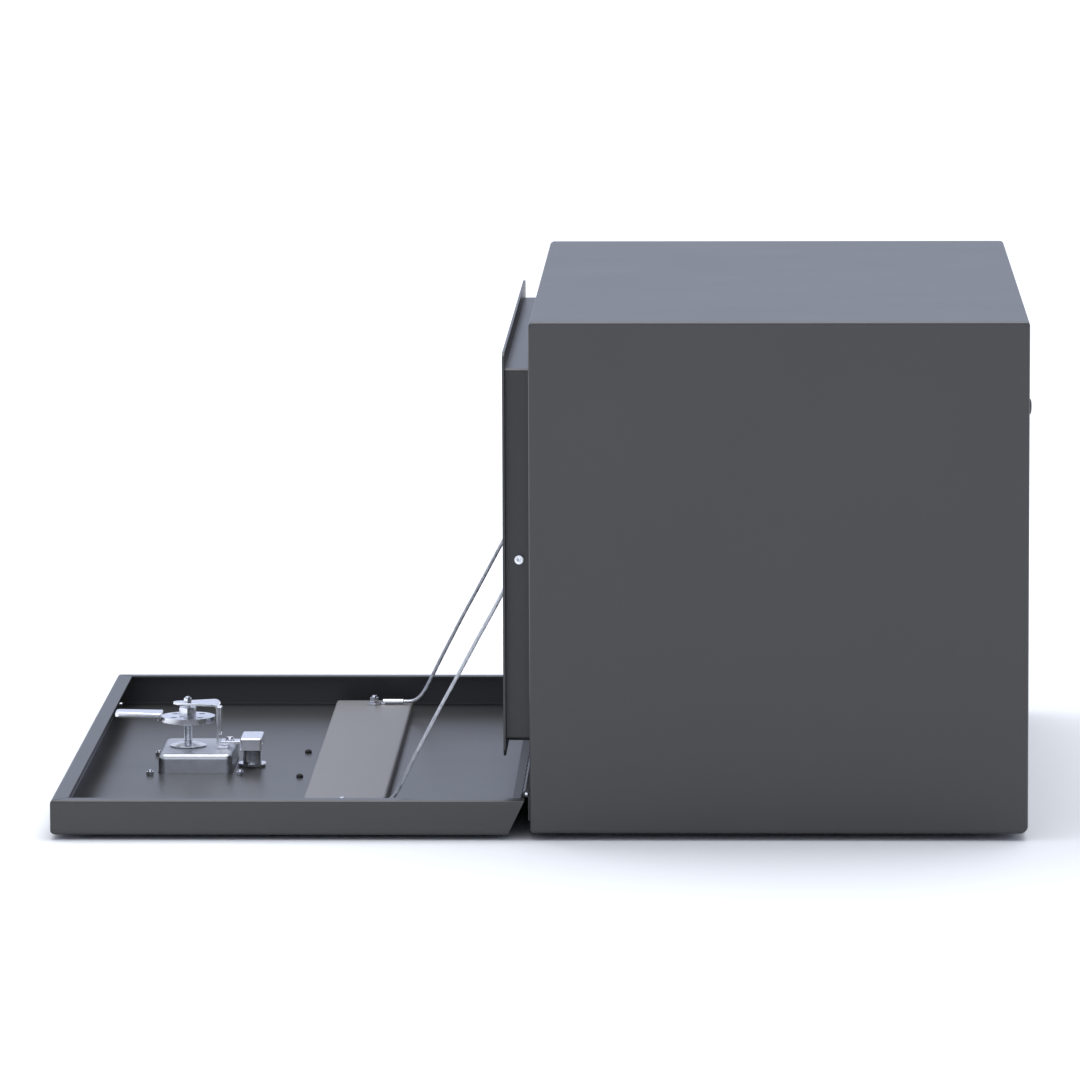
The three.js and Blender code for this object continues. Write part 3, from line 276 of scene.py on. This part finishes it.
def powder_coat(name, shade, roughness):
    """Baked powder paint: a fine orange peel, and faint patches of more and less gloss."""
    material, shader, place = start_material(name, shade, 0.0, roughness)
    shader.inputs["Specular IOR Level"].default_value = 0.6
    patches = noise(material, place, 9.0)
    lighter = tuple(value * 1.03 for value in shade)
    darker = tuple(value * 0.97 for value in shade)
    vary_colour(material, shader, patches, darker, lighter)
    links = material.node_tree.links
    links.new(spread(material, patches, roughness - 0.01, roughness + 0.01), shader.inputs["Roughness"])
    roughen(material, shader, noise(material, place, 700.0, 2.0), 0.00002, 0.5)
    return material


def plated(name, shade, roughness, grain=(1, 1, 1), bump=0.00002):
    """Bright plating or drawn stainless: metal with a fine grain and cloudy gloss."""
    material, shader, place = start_material(name, shade, 1.0, roughness)
    clouds = noise(material, place, 120.0)
    vary_colour(material, shader, clouds, tuple(v * 0.95 for v in shade), tuple(v * 1.04 for v in shade))
    links = material.node_tree.links
    links.new(spread(material, clouds, roughness - 0.03, roughness + 0.04), shader.inputs["Roughness"])
    roughen(material, shader, noise(material, place, 900.0, 3.0, grain), bump, 0.6)
    return material


FINISHES = {
    "black_paint": powder_coat("black_powder_coat", (0.034, 0.034, 0.0335), 0.32),
    "channel_paint": powder_coat("channel_powder_coat", (0.185, 0.180, 0.176), 0.42),
    "stainless": plated("satin_stainless", (0.50, 0.51, 0.53), 0.33, (1, 14, 14), 0.000004),
    "zinc": plated("bright_zinc", (0.90, 0.91, 0.94), 0.24, bump=0.000004),
    "wire_rope": plated("galvanised_wire", (0.62, 0.63, 0.65), 0.32, (8, 1, 1), 0.000004),
}
NODE_SLOT = {part["node"]: part["material_slot"] for part in frame["record"]["subparts"]}
NODE_BODY = {node: body for body, nodes in frame["record"]["behaviour"]["bodies"].items() for node in nodes}


# ---- shaping with bmesh ----
SMOOTH_UNDER = math.radians(34)
FLAT_WITHIN = math.radians(0.6)
WELD_WITHIN = 2e-6


def finish_piece(name, shape, *nodes, bevel=0.0, segments=2, slot=None, weighted=True):
    """Makes the object with its sharp edges rounded, its finish, and the CAD nodes it stands for."""
    bmesh.ops.remove_doubles(shape, verts=shape.verts, dist=WELD_WITHIN)
    if bevel:
        sharp = [e for e in shape.edges if len(e.link_faces) == 2 and e.calc_face_angle() > SMOOTH_UNDER]
        bmesh.ops.bevel(
            shape, geom=sharp, offset=bevel, offset_type="OFFSET", affect="EDGES",
            segments=segments, profile=0.5, material=-1, clamp_overlap=True,
        )
    piece = new_object(name, shape)
    for polygon in piece.data.polygons:
        polygon.use_smooth = True
    piece.data.set_sharp_from_angle(angle=SMOOTH_UNDER)
    if weighted:
        modifier = piece.modifiers.new("even_flats", "WEIGHTED_NORMAL")
        modifier.keep_sharp = True
        modifier.weight = 90
    slot = slot or NODE_SLOT[nodes[0]]
    piece.data.materials.append(FINISHES[slot])
    if nodes:
        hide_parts(*nodes)
    return piece


def on_body(piece, node):
    """The piece moves with the body its CAD node is on."""
    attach(piece, NODE_BODY[node])
    return piece


def refined(node, bevel=0.3 * MM, segments=2, name=None):
    """A CAD piece with its flats joined up and its edges rounded as the real edge is."""
    shape = bmesh.new()
    shape.from_mesh(frame["nodes"][node].data)
    bmesh.ops.remove_doubles(shape, verts=shape.verts, dist=WELD_WITHIN)
    bmesh.ops.dissolve_limit(
        shape, angle_limit=FLAT_WITHIN, verts=shape.verts, edges=shape.edges, delimit={"NORMAL"}
    )
    piece = finish_piece(name or node + "_finished", shape, node, bevel=bevel, segments=segments)
    return on_body(piece, node)


def lathe(shape, profile, centre, axis=Z_AXIS, steps=32):
    """Spins (radius, height) pairs about an axis through centre. Ends on the axis are closed."""
    turn = Z_AXIS.rotation_difference(axis).to_matrix()
    verts = [shape.verts.new(centre + turn @ Vector((radius, 0, height))) for radius, height in profile]
    edges = [shape.edges.new(pair) for pair in zip(verts, verts[1:])]
    made = bmesh.ops.spin(
        shape, geom=verts + edges, cent=centre, axis=axis, angle=2 * math.pi, steps=steps, use_merge=True
    )
    bmesh.ops.remove_doubles(shape, verts=shape.verts, dist=1e-6)
    return made


def in_metres(line):
    """(radius, height) pairs given in millimetres."""
    return [(radius * MM, height * MM) for radius, height in line]


def ring_profile(inner, outer, low, high):
    """The closed section of a tube or washer for lathe."""
    return [(inner, low), (outer, low), (outer, high), (inner, high), (inner, low)]


def slab(shape, low, high):
    """A block between two corners."""
    low, high = Vector(low), Vector(high)
    size = high - low
    matrix = Matrix.Translation((low + high) / 2) @ Matrix.Diagonal((*size, 1))
    return bmesh.ops.create_cube(shape, size=1, matrix=matrix)["verts"]


def facing_out(shape):
    """Joins what meets and turns every face outwards."""
    bmesh.ops.remove_doubles(shape, verts=shape.verts, dist=1e-6)
    bmesh.ops.recalc_face_normals(shape, faces=shape.faces)


# ---- stay cables: six strands laid round a core ----
CABLE_RADIUS = 1.8 * MM
STRANDS = 6
STRAND_RADIUS = 0.66 * MM
STRAND_LAY = 19 * MM
STRAND_SIDES = 8
CORE_SIDES = 8
CORE_OVERLAP = 0.2 * MM
ROUTE_STEP = 1.6 * MM
BOLT_SIDE = abs(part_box("left_cable_bolt")[0].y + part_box("left_cable_bolt")[1].y) / 2
EYE_SIDE = HALF_WIDTH - 69.75 * MM
# how far in front of the box, how high, and the share of the way from the door bolt to the collar
CABLE_ROUTE = [
    (142.6, 13.75, 0), (137, 13.85, 0), (131.2, 15.3, 0.01), (126, 19.2, 0.03), (121.6, 25.2, 0.06),
    (117.2, 33.4, 0.1), (109, 50, 0.18), (98, 71.5, 0.28), (85, 96.5, 0.4), (66, 131.5, 0.57),
    (47, 167, 0.75), (34.3, 190, 0.88), (26.3, 205.2, 0.97), (22.95, 211.95, 1),
]


def smooth_route(points, step):
    """Evenly spaced points on a smooth line through the given ones."""
    data = bpy.data.curves.new("route", "CURVE")
    data.dimensions = "3D"
    spline = data.splines.new("BEZIER")
    spline.bezier_points.add(len(points) - 1)
    for knot, point in zip(spline.bezier_points, points):
        knot.co = point
        knot.handle_left_type = knot.handle_right_type = "AUTO"
    spline.resolution_u = 24
    guide = bpy.data.objects.new("route", data)
    bpy.context.scene.collection.objects.link(guide)
    fine = [v.co.copy() for v in guide.to_mesh().vertices]
    guide.to_mesh_clear()
    bpy.data.objects.remove(guide)
    lengths = [0.0]
    for a, b in zip(fine, fine[1:]):
        lengths.append(lengths[-1] + (b - a).length)
    count = round(lengths[-1] / step)
    even, at = [], 0
    for i in range(count + 1):
        want = lengths[-1] * i / count
        while at < len(fine) - 2 and lengths[at + 1] < want:
            at += 1
        share = (want - lengths[at]) / (lengths[at + 1] - lengths[at])
        even.append(fine[at].lerp(fine[at + 1], share))
    return even, lengths[-1]


def sweep(shape, centres, directions, radius, sides):
    """A capped tube: a ring is extruded from each centre to the next and turned to face along."""
    ring = bmesh.ops.create_circle(shape, cap_ends=True, radius=radius, segments=sides)["verts"]
    for vert in ring:
        turn = Z_AXIS.rotation_difference(directions[0])
        vert.co = centres[0] + turn @ vert.co
    rest = [vert.co - centres[0] for vert in ring]
    facing = directions[0]
    edges = [e for e in shape.edges if all(v in ring for v in e.verts)]
    for centre, direction in zip(centres[1:], directions[1:]):
        turn = facing.rotation_difference(direction)
        rest = [turn @ arm for arm in rest]
        facing = direction
        made = bmesh.ops.extrude_edge_only(shape, edges=edges)["geom"]
        order = {tuple(v.co): i for i, v in enumerate(ring)}
        new = [g for g in made if isinstance(g, bmesh.types.BMVert)]
        edges = [g for g in made if isinstance(g, bmesh.types.BMEdge) and all(v in new for v in g.verts)]
        ring = sorted(new, key=lambda v: order[tuple(v.co)])
        for vert, arm in zip(ring, rest):
            vert.co = centre + arm
    bmesh.ops.contextual_create(shape, geom=edges)


def stay_cable(name, side):
    """One stay: a core with strands laid round it, from the door bolt up to the collar."""
    points = [
        Vector((FRONT - out * MM, side * (BOLT_SIDE + (EYE_SIDE - BOLT_SIDE) * share), up * MM))
        for out, up, share in CABLE_ROUTE
    ]
    path, length = smooth_route(points, ROUTE_STEP)
    ways = [(b - a).normalized() for a, b in zip(path, path[1:])]
    ways.append(ways[-1])
    shape = bmesh.new()
    sweep(shape, path[::2], ways[::2], CABLE_RADIUS - 2 * STRAND_RADIUS + CORE_OVERLAP, CORE_SIDES)
    reach = CABLE_RADIUS - STRAND_RADIUS
    across = [way.cross(Y_AXIS).normalized() for way in ways]
    for strand in range(STRANDS):
        centres = []
        for i, (point, way, out) in enumerate(zip(path, ways, across)):
            angle = 2 * math.pi * (strand / STRANDS + i * (length / (len(path) - 1)) / STRAND_LAY)
            centres.append(point + reach * (out * math.cos(angle) + way.cross(out) * math.sin(angle)))
        along = [(b - a).normalized() for a, b in zip(centres, centres[1:])]
        along.append(along[-1])
        sweep(shape, centres, along, STRAND_RADIUS, STRAND_SIDES)
    facing_out(shape)
    node = name + "_stay_cable"
    cable = finish_piece(node + "_rope", shape, node, weighted=False)
    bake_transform(cable)


for name, side in SIDES.items():
    refined(name + "_upper_cable_end", 0.25 * MM, name=name + "_upper_eye")
    refined(name + "_lower_cable_end", 0.25 * MM, name=name + "_lower_eye")
    stay_cable(name, side)


# ---- small turned and pressed fittings ----
# threads on the small bolts, in millimetres
FINE_PITCH = 0.9
FINE_DEPTH = 0.32


def threaded(radius, low, high, pitch, depth):
    """A (radius, height) line up a threaded bar, closed on its axis at both ends, with chamfered ends."""
    line = [(0, low), (radius - depth, low)]
    turns = int((high - low - pitch) / pitch)
    for turn in range(turns):
        foot = low + (turn + 0.5) * pitch
        line += [(radius - depth, foot), (radius, foot + 0.4 * pitch), (radius, foot + 0.55 * pitch)]
    return line + [(radius - depth, high), (0, high)]


def hex_nut(shape, centre, axis, across, low, high, bore):
    """A hexagon bar with turned chamfers at both ends, and a bore."""
    corner = across / math.sqrt(3)
    chamfer = 0.14 * (high - low)
    rings = []
    for height, limit in ((low, 0.93), (low + chamfer, 1), (high - chamfer, 1), (high, 0.93)):
        ring = bmesh.ops.create_circle(shape, segments=24, radius=corner)["verts"]
        for vert in ring:
            angle = math.atan2(vert.co.y, vert.co.x)
            to_flat = (angle + math.pi / 6) % (math.pi / 3) - math.pi / 6
            hexagon = across / 2 / math.cos(to_flat)
            vert.co *= min(hexagon, corner * limit) / corner
            vert.co.z = height
        rings.append([e for e in shape.edges if all(v in ring for v in e.verts)])
    for height in (high, low):
        ring = bmesh.ops.create_circle(shape, segments=24, radius=bore)["verts"]
        bmesh.ops.translate(shape, verts=ring, vec=(0, 0, height))
        rings.append([e for e in shape.edges if all(v in ring for v in e.verts)])
    rings.append(rings[0])
    made = set()
    for lower, upper in zip(rings, rings[1:]):
        bmesh.ops.bridge_loops(shape, edges=lower + upper)
        made.update(v for e in lower + upper for v in e.verts)
    turn = Z_AXIS.rotation_difference(axis).to_matrix().to_4x4()
    bmesh.ops.transform(shape, matrix=Matrix.Translation(centre) @ turn, verts=list(made))


def nut_piece(node, axis, across, centre, low, high, bore):
    """A hexagon nut in place of a node. Its sizes are in millimetres."""
    shape = bmesh.new()
    hex_nut(shape, centre, axis, across * MM, low * MM, high * MM, bore * MM)
    facing_out(shape)
    on_body(finish_piece(node + "_chamfered", shape, node), node)


def node_middle(node):
    """The middle of a node's bounding box."""
    low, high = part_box(node)
    return (Vector(low) + Vector(high)) / 2


def span_of(node, axis):
    """How far a node reaches along an axis through the origin, in millimetres, nearer end first."""
    ends = sorted(abs(corner[axis]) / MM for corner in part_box(node))
    return ends[0], ends[1]


def solid_piece(name, node, *lines, centre, axis=Z_AXIS, steps=28, extra=None):
    """A turned piece made of one or more lines spun about one axis, and anything extra added to it."""
    shape = bmesh.new()
    for line in lines:
        lathe(shape, in_metres(line), centre, axis, steps)
    if extra:
        extra(shape)
    facing_out(shape)
    return on_body(finish_piece(name, shape, node), node)


# ---- latch ----
DECK = Vector((STUD.x, STUD.y, 0))
BOSS_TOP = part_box("latch_dish")[1][2] / MM - 1.8
SHANK_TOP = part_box("hub_nut")[1][2] / MM + 0.5
STUD_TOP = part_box("latch_stud")[1][2] / MM
TONGUE_HALF_WIDTH = 5.4 * MM
TONGUE_HALF_THICKNESS = 3.5
TONGUE_LOW = HANDLE_PIN.z / MM + 2.6
TONGUE_TOP = 11
# the eye's bore and outside
EYE_BORE, EYE_RADIUS = 2.3, 5.5


def handle_tongue(shape):
    """The stud's flat end in the dish, with an eye for the handle's pin."""
    half = TONGUE_HALF_THICKNESS
    slab(
        shape, (STUD.x - TONGUE_HALF_WIDTH, -half * MM, TONGUE_LOW * MM),
        (STUD.x + TONGUE_HALF_WIDTH, half * MM, TONGUE_TOP * MM),
    )
    lathe(shape, in_metres(ring_profile(EYE_BORE, EYE_RADIUS, -half, half)), HANDLE_PIN, Y_AXIS, 28)


solid_piece(
    "threaded_stud", "latch_stud",
    [(0, 10.6), (7.6, 10.6), (8, 11), (8, BOSS_TOP - 0.4), (7.6, BOSS_TOP), (0, BOSS_TOP)],
    threaded(4.0, BOSS_TOP - 0.6, SHANK_TOP, 2.1, 0.75),
    threaded(2.2, SHANK_TOP - 0.6, STUD_TOP, FINE_PITCH, FINE_DEPTH),
    centre=DECK, extra=handle_tongue,
)
for node, across, bore in (("hub_nut", 15.5, 4.2), ("stud_top_nut", 7, 2.4)):
    nut_piece(node, Z_AXIS, across, DECK, *span_of(node, 2), bore)

refined("cam_disc", 0.5 * MM)
disc_low = span_of("cam_disc", 2)[0]
rim = bmesh.new()
# the disc's turned-down edge, in millimetres from its axis and its underside
RIM_LINE = [(23.7, 0.2), (23.7, -1.4), (24.1, -1.8), (25.0, -1.8), (25.4, -1.4), (25.4, 0.2), (23.7, 0.2)]
lathe(rim, in_metres((radius, disc_low + height) for radius, height in RIM_LINE), DECK, Z_AXIS, 48)
facing_out(rim)
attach(finish_piece("cam_disc_rim", rim, slot="zinc"), "latch_shaft")

# the arm is a bar welded to the disc's edge, with a stop tab where they meet
WELD_FROM_AXIS = 24 * MM
ARM_THICKER_BY = 1.9 * MM
TAB_FROM_AXIS = 26.4 * MM
TAB_SHEET = 1.8 * MM
TAB_HALF_WIDTH = 12.2 * MM
TAB_BELOW, TAB_ABOVE = 3.8 * MM, 3.4 * MM
arm_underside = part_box("cam_arm")[0].z
arm = bmesh.new()
arm.from_mesh(frame["nodes"]["cam_arm"].data)
bmesh.ops.remove_doubles(arm, verts=arm.verts, dist=WELD_WITHIN)
bmesh.ops.dissolve_limit(arm, angle_limit=FLAT_WITHIN, verts=arm.verts, edges=arm.edges)
weld = (STUD.x - WELD_FROM_AXIS, 0, 0)
faces = list(arm.verts) + list(arm.edges) + list(arm.faces)
cut = bmesh.ops.bisect_plane(arm, geom=faces, plane_co=weld, plane_no=X_AXIS, clear_outer=True)["geom_cut"]
bmesh.ops.contextual_create(arm, geom=[g for g in cut if isinstance(g, bmesh.types.BMEdge)])
underside = [v for v in arm.verts if any(f.normal.z < -0.9 for f in v.link_faces)]
bmesh.ops.translate(arm, verts=underside, vec=(0, 0, -ARM_THICKER_BY))
facing_out(arm)
on_body(finish_piece("cam_arm_bar", arm, "cam_arm", bevel=1.5 * MM, segments=4), "cam_arm")
tab = bmesh.new()
tab_x = STUD.x - TAB_FROM_AXIS
slab(
    tab, (tab_x - TAB_SHEET, -TAB_HALF_WIDTH, arm_underside - TAB_BELOW),
    (tab_x, TAB_HALF_WIDTH, arm_underside + TAB_ABOVE),
)
facing_out(tab)
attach(finish_piece("cam_arm_stop_tab", tab, bevel=0.5 * MM, slot="zinc"), "latch_shaft")
refined("latch_bracket", 0.6 * MM, 3)

# two dished washers back to back, the upper one smaller
spring_low, spring_high = span_of("bow_spring", 2)
LOWER_DISH = [
    (4.5, spring_high - 1.2), (9, spring_high - 1.6), (13.5, spring_high - 2.7), (17.1, spring_low + 0.2),
    (17.4, spring_low), (17.4, spring_low + 0.6), (13.8, spring_high - 1.9), (9.2, spring_high - 0.8),
    (4.5, spring_high - 0.5), (4.5, spring_high - 1.2),
]
UPPER_DISH = [
    (4.5, spring_high), (7.2, spring_high - 0.2), (9.4, spring_high - 0.75), (4.5, spring_high - 0.45),
]
solid_piece(
    "spring_washers", "bow_spring", LOWER_DISH, UPPER_DISH + UPPER_DISH[:1], centre=DECK, steps=40,
)

# a rib pressed into the bracket's leg
RIB_HALF_WIDTH = 5 * MM
RIB_LOW, RIB_TOP = 29.5 * MM, 56 * MM
RIB_SUNK, RIB_PROUD = 0.4 * MM, 2.3 * MM
leg_face = STUD.x + 29.8 * MM
rib = bmesh.new()
slab(rib, (leg_face - RIB_SUNK, -RIB_HALF_WIDTH, RIB_LOW), (leg_face + RIB_PROUD, RIB_HALF_WIDTH, RIB_TOP))
facing_out(rib)
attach(finish_piece("bracket_rib", rib, bevel=1.1 * MM, segments=4, slot="zinc"), "door")
refined("latch_dish", 0.35 * MM)

for i in range(1, 5):
    bolt, nut = f"latch_bolt_{i}", f"latch_nut_{i}"
    at = node_middle(bolt) * Vector((1, 1, 0))
    low, high = (corner[2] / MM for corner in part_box(bolt))
    seat = low + 1.9
    head = [(0, low), (1.5, low + 0.05), (2.7, low + 0.45), (3.5, low + 1.1), (3.8, seat), (1.7, seat)]
    solid_piece(bolt + "_domed", bolt, head + threaded(2.0, seat, high, 0.8, 0.3)[1:], centre=at, steps=20)
    nut_piece(nut, Z_AXIS, 6.6, at, *(corner[2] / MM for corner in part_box(nut)), 2.2)

# ---- key lock ----
LOCK_AT = Vector((LOCK.x, LOCK.y, 0))
lock_low, lock_top = (corner[2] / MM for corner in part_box("lock_housing"))
BARREL_BORE, BARREL_RADIUS = 6.4, 8.85
LIP_RADIUS, LIP_UP, LIP_ROUND = 11.5, 1.6, 0.4
THREAD_FROM = 3.4
RING_NUT_ACROSS, RING_NUT_BORE = 25.2, 9.15
solid_piece(
    "lock_barrel", "lock_housing",
    [
        (BARREL_BORE, lock_low), (LIP_RADIUS - LIP_ROUND, lock_low), (LIP_RADIUS, lock_low + LIP_ROUND),
        (LIP_RADIUS, lock_low + LIP_UP), (BARREL_RADIUS, lock_low + LIP_UP), (BARREL_RADIUS, THREAD_FROM),
    ]
    + threaded(BARREL_RADIUS, THREAD_FROM, lock_top, 1.3, 0.45)[1:-1]
    + [(BARREL_BORE, lock_top), (BARREL_BORE, lock_low)],
    centre=LOCK_AT, steps=40,
)
ring_low, ring_top = (corner[2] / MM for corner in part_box("lock_ring_nut"))
nut_piece("lock_ring_nut", Z_AXIS, RING_NUT_ACROSS, LOCK_AT, ring_low, ring_top, RING_NUT_BORE)
refined("lock_plug", 0.25 * MM)
refined("lock_block", 0.8 * MM, 3)
refined("lock_tongue", 0.4 * MM)

screw_at = node_middle("tongue_screw") * Vector((1, 1, 0))
screw_low, screw_top = span_of("tongue_screw", 2)


WASHER_INNER, WASHER_OUTER = 3.6, 4.3
TOOTH_TIP, TOOTH_ROOT = 1.08, 0.9
TOOTH_SEGMENTS = 4
WASHER_SEGMENTS = 32


def star_washer(shape):
    """A toothed ring round the screw's head."""
    rings = []
    for height in (screw_low - 0.2, screw_low + 0.5):
        for radius in (WASHER_INNER, WASHER_OUTER):
            ring = bmesh.ops.create_circle(shape, segments=WASHER_SEGMENTS, radius=radius * MM)["verts"]
            if radius == WASHER_OUTER:
                for i, vert in enumerate(ring):
                    vert.co *= TOOTH_TIP if i % TOOTH_SEGMENTS < TOOTH_SEGMENTS // 2 else TOOTH_ROOT
            bmesh.ops.translate(shape, verts=ring, vec=screw_at + Vector((0, 0, height * MM)))
            rings.append([e for e in shape.edges if all(v in ring for v in e.verts)])
    low_in, low_out, high_in, high_out = rings
    for pair in ((low_in, low_out), (low_out, high_out), (high_out, high_in), (high_in, low_in)):
        bmesh.ops.bridge_loops(shape, edges=pair[0] + pair[1])


solid_piece(
    "tongue_screw_domed", "tongue_screw",
    [(0, screw_low), (3.9, screw_low), (4, screw_low + 0.5), (3.8, screw_low + 1.7), (3.1, screw_top - 0.5),
     (2.0, screw_top - 0.1), (1.3, screw_top), (1.0, screw_top - 1.1), (0, screw_top - 1.3)],
    centre=screw_at, extra=star_washer,
)

# ---- stay-cable bolts, back plugs ----
STAY_BOLT_RADIUS = 2.5
STAY_NUT_ACROSS = 8
STAY_NUT_BORE = 2.7
ANCHOR_HEAD_UP = 3.4
CABLE_HEAD_UP = 3
PLUG_HEAD_UP = 2
for name, side in SIDES.items():
    along = Y_AXIS * side
    bolt, nut = name + "_anchor_bolt", name + "_anchor_nut"
    at = node_middle(bolt) * Vector((1, 0, 1))
    tip, crown = span_of(bolt, 1)
    seat = crown - ANCHOR_HEAD_UP
    dimple = [(2.4, crown), (2.0, crown - 0.7), (1.1, crown - 1.5), (0, crown - 1.7)]
    solid_piece(
        bolt + "_ringed", bolt,
        threaded(STAY_BOLT_RADIUS, tip, seat, FINE_PITCH, FINE_DEPTH)[:-1]
        + [(4.3, seat), (4.3, crown - 1.1), (3.95, crown - 0.5), (3.3, crown - 0.45), (3.1, crown)]
        + dimple,
        centre=at, axis=along,
    )
    nut_piece(nut, along, STAY_NUT_ACROSS, at, *span_of(nut, 1), STAY_NUT_BORE)

    bolt, nut = name + "_cable_bolt", name + "_cable_nut"
    at = node_middle(bolt) * Vector((1, 1, 0))
    low, high = span_of(bolt, 2)
    shape = bmesh.new()
    shank = threaded(STAY_BOLT_RADIUS, low + 1, high, FINE_PITCH, FINE_DEPTH)
    lathe(shape, in_metres(shank), at, Z_AXIS, 24)
    facing_out(shape)
    hex_nut(shape, at, Z_AXIS, STAY_NUT_ACROSS * MM, low * MM, (low + CABLE_HEAD_UP) * MM, 1.5 * MM)
    facing_out(shape)
    on_body(finish_piece(bolt + "_threaded", shape, bolt), bolt)
    nut_piece(nut, Z_AXIS, STAY_NUT_ACROSS, at, *span_of(nut, 2), STAY_NUT_BORE)

    plug = name + "_back_plug"
    at = node_middle(plug) * Vector((0, 1, 1))
    inner, outer = span_of(plug, 0)
    face = outer - PLUG_HEAD_UP
    solid_piece(
        plug + "_domed", plug,
        [(0, inner), (3.4, inner), (4, inner + 0.8), (4, face), (6.6, face), (7, face + 0.4),
         (6.5, face + 1.1), (5, face + 1.65), (2.5, face + 1.95), (0, outer)],
        centre=at, axis=X_AXIS,
    )


# ---- near-black plugs in the two holes beside the channel: painted shade, standing in for the dark seen through the holes ----
# a near-black rough finish for the plugs: painted shade where the holes would show the shaded ground under the
# door
shade_plug_finish = start_material("painted_shade_plug", (0.012, 0.012, 0.012), 0.0, 0.7)
roughen(*shade_plug_finish[:2], noise(shade_plug_finish[0], shade_plug_finish[2], 500.0), 0.00003, 0.6)
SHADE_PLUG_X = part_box("stiffener_channel")[0][0] - 13.3 * MM
SHADE_PLUG_SIDE = 71.5 * MM
SHADE_PLUG_LINE = [
    (0, -0.6), (2.3, -0.6), (2.3, 0), (3.2, 0), (3.3, 0.9), (3.0, 2.1), (2.1, 3.0), (1.0, 3.4), (0, 3.5),
]
for name, side in SIDES.items():
    shape = bmesh.new()
    lathe(shape, in_metres(SHADE_PLUG_LINE), Vector((SHADE_PLUG_X, side * SHADE_PLUG_SIDE, 0)), Z_AXIS, 20)
    facing_out(shape)
    # each plug gets the near-black finish, painted shade in place of the hole's own darkness
    shade_plug = finish_piece(name + "_shade_plug", shape, slot="black_paint")
    shade_plug.data.materials[0] = shade_plug_finish[0]
    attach(shade_plug, "door")


# ---- piano hinge: rolled knuckles along the pin, the box's and the door's by turns ----
HINGE_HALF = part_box("hinge_pin")[1].y
HINGE_KNUCKLES = 57
KNUCKLE_RADIUS = 3.2 * MM
LEAF_SHEET = 1.5 * MM
LEAF_LENGTH = 24 * MM
LEAF_TOP = 4.2 * MM
KNUCKLE_GAP = 0.4 * MM
KNUCKLE_ROUND = 0.25 * MM
KNUCKLE_BORE = 1.7 * MM
DOOR_LEAF_SLOPE = math.radians(26.1)


def hinge_leaf(name, node, first, side, slope):
    """One leaf hanging from its share of the knuckles, then turned about the pin."""
    shape = bmesh.new()
    step = 2 * HINGE_HALF / HINGE_KNUCKLES
    inner, outer = sorted((side * (KNUCKLE_RADIUS - LEAF_SHEET), side * KNUCKLE_RADIUS))
    slab(shape, (inner, -HINGE_HALF, -LEAF_LENGTH), (outer, HINGE_HALF, -LEAF_TOP))
    for i in range(first, HINGE_KNUCKLES, 2):
        low = -HINGE_HALF + i * step + KNUCKLE_GAP / 2
        high = low + step - KNUCKLE_GAP
        slab(shape, (inner, low, -LEAF_TOP - 0.2 * MM), (outer, high, 0))
        line = [
            (KNUCKLE_BORE, low), (KNUCKLE_RADIUS - KNUCKLE_ROUND, low),
            (KNUCKLE_RADIUS, low + KNUCKLE_ROUND), (KNUCKLE_RADIUS, high - KNUCKLE_ROUND),
            (KNUCKLE_RADIUS - KNUCKLE_ROUND, high), (KNUCKLE_BORE, high), (KNUCKLE_BORE, low),
        ]
        lathe(shape, line, Vector(), Y_AXIS, 16)
    turn = Matrix.Translation(PIN) @ Matrix.Rotation(slope, 4, "Y")
    bmesh.ops.transform(shape, matrix=turn, verts=shape.verts)
    facing_out(shape)
    on_body(finish_piece(name, shape, node), node)


hinge_leaf("piano_hinge_box_leaf", "hinge_box_leaf", 0, 1, 0)
hinge_leaf("piano_hinge_door_leaf", "hinge_door_leaf", 1, -1, DOOR_LEAF_SLOPE)


# ---- sheet metal, fittings and latch, finished from the frame ----
SHEET_PIECES = [
    "body_shell", "right_end_panel", "left_end_panel", "front_panel", "door_collar", "door_pan",
    "stiffener_channel",
]
for node in SHEET_PIECES:
    refined(node, 0.25 * MM)
for node in ("t_handle", "handle_pin", "hinge_pin"):
    refined(node, 0.3 * MM, 3)
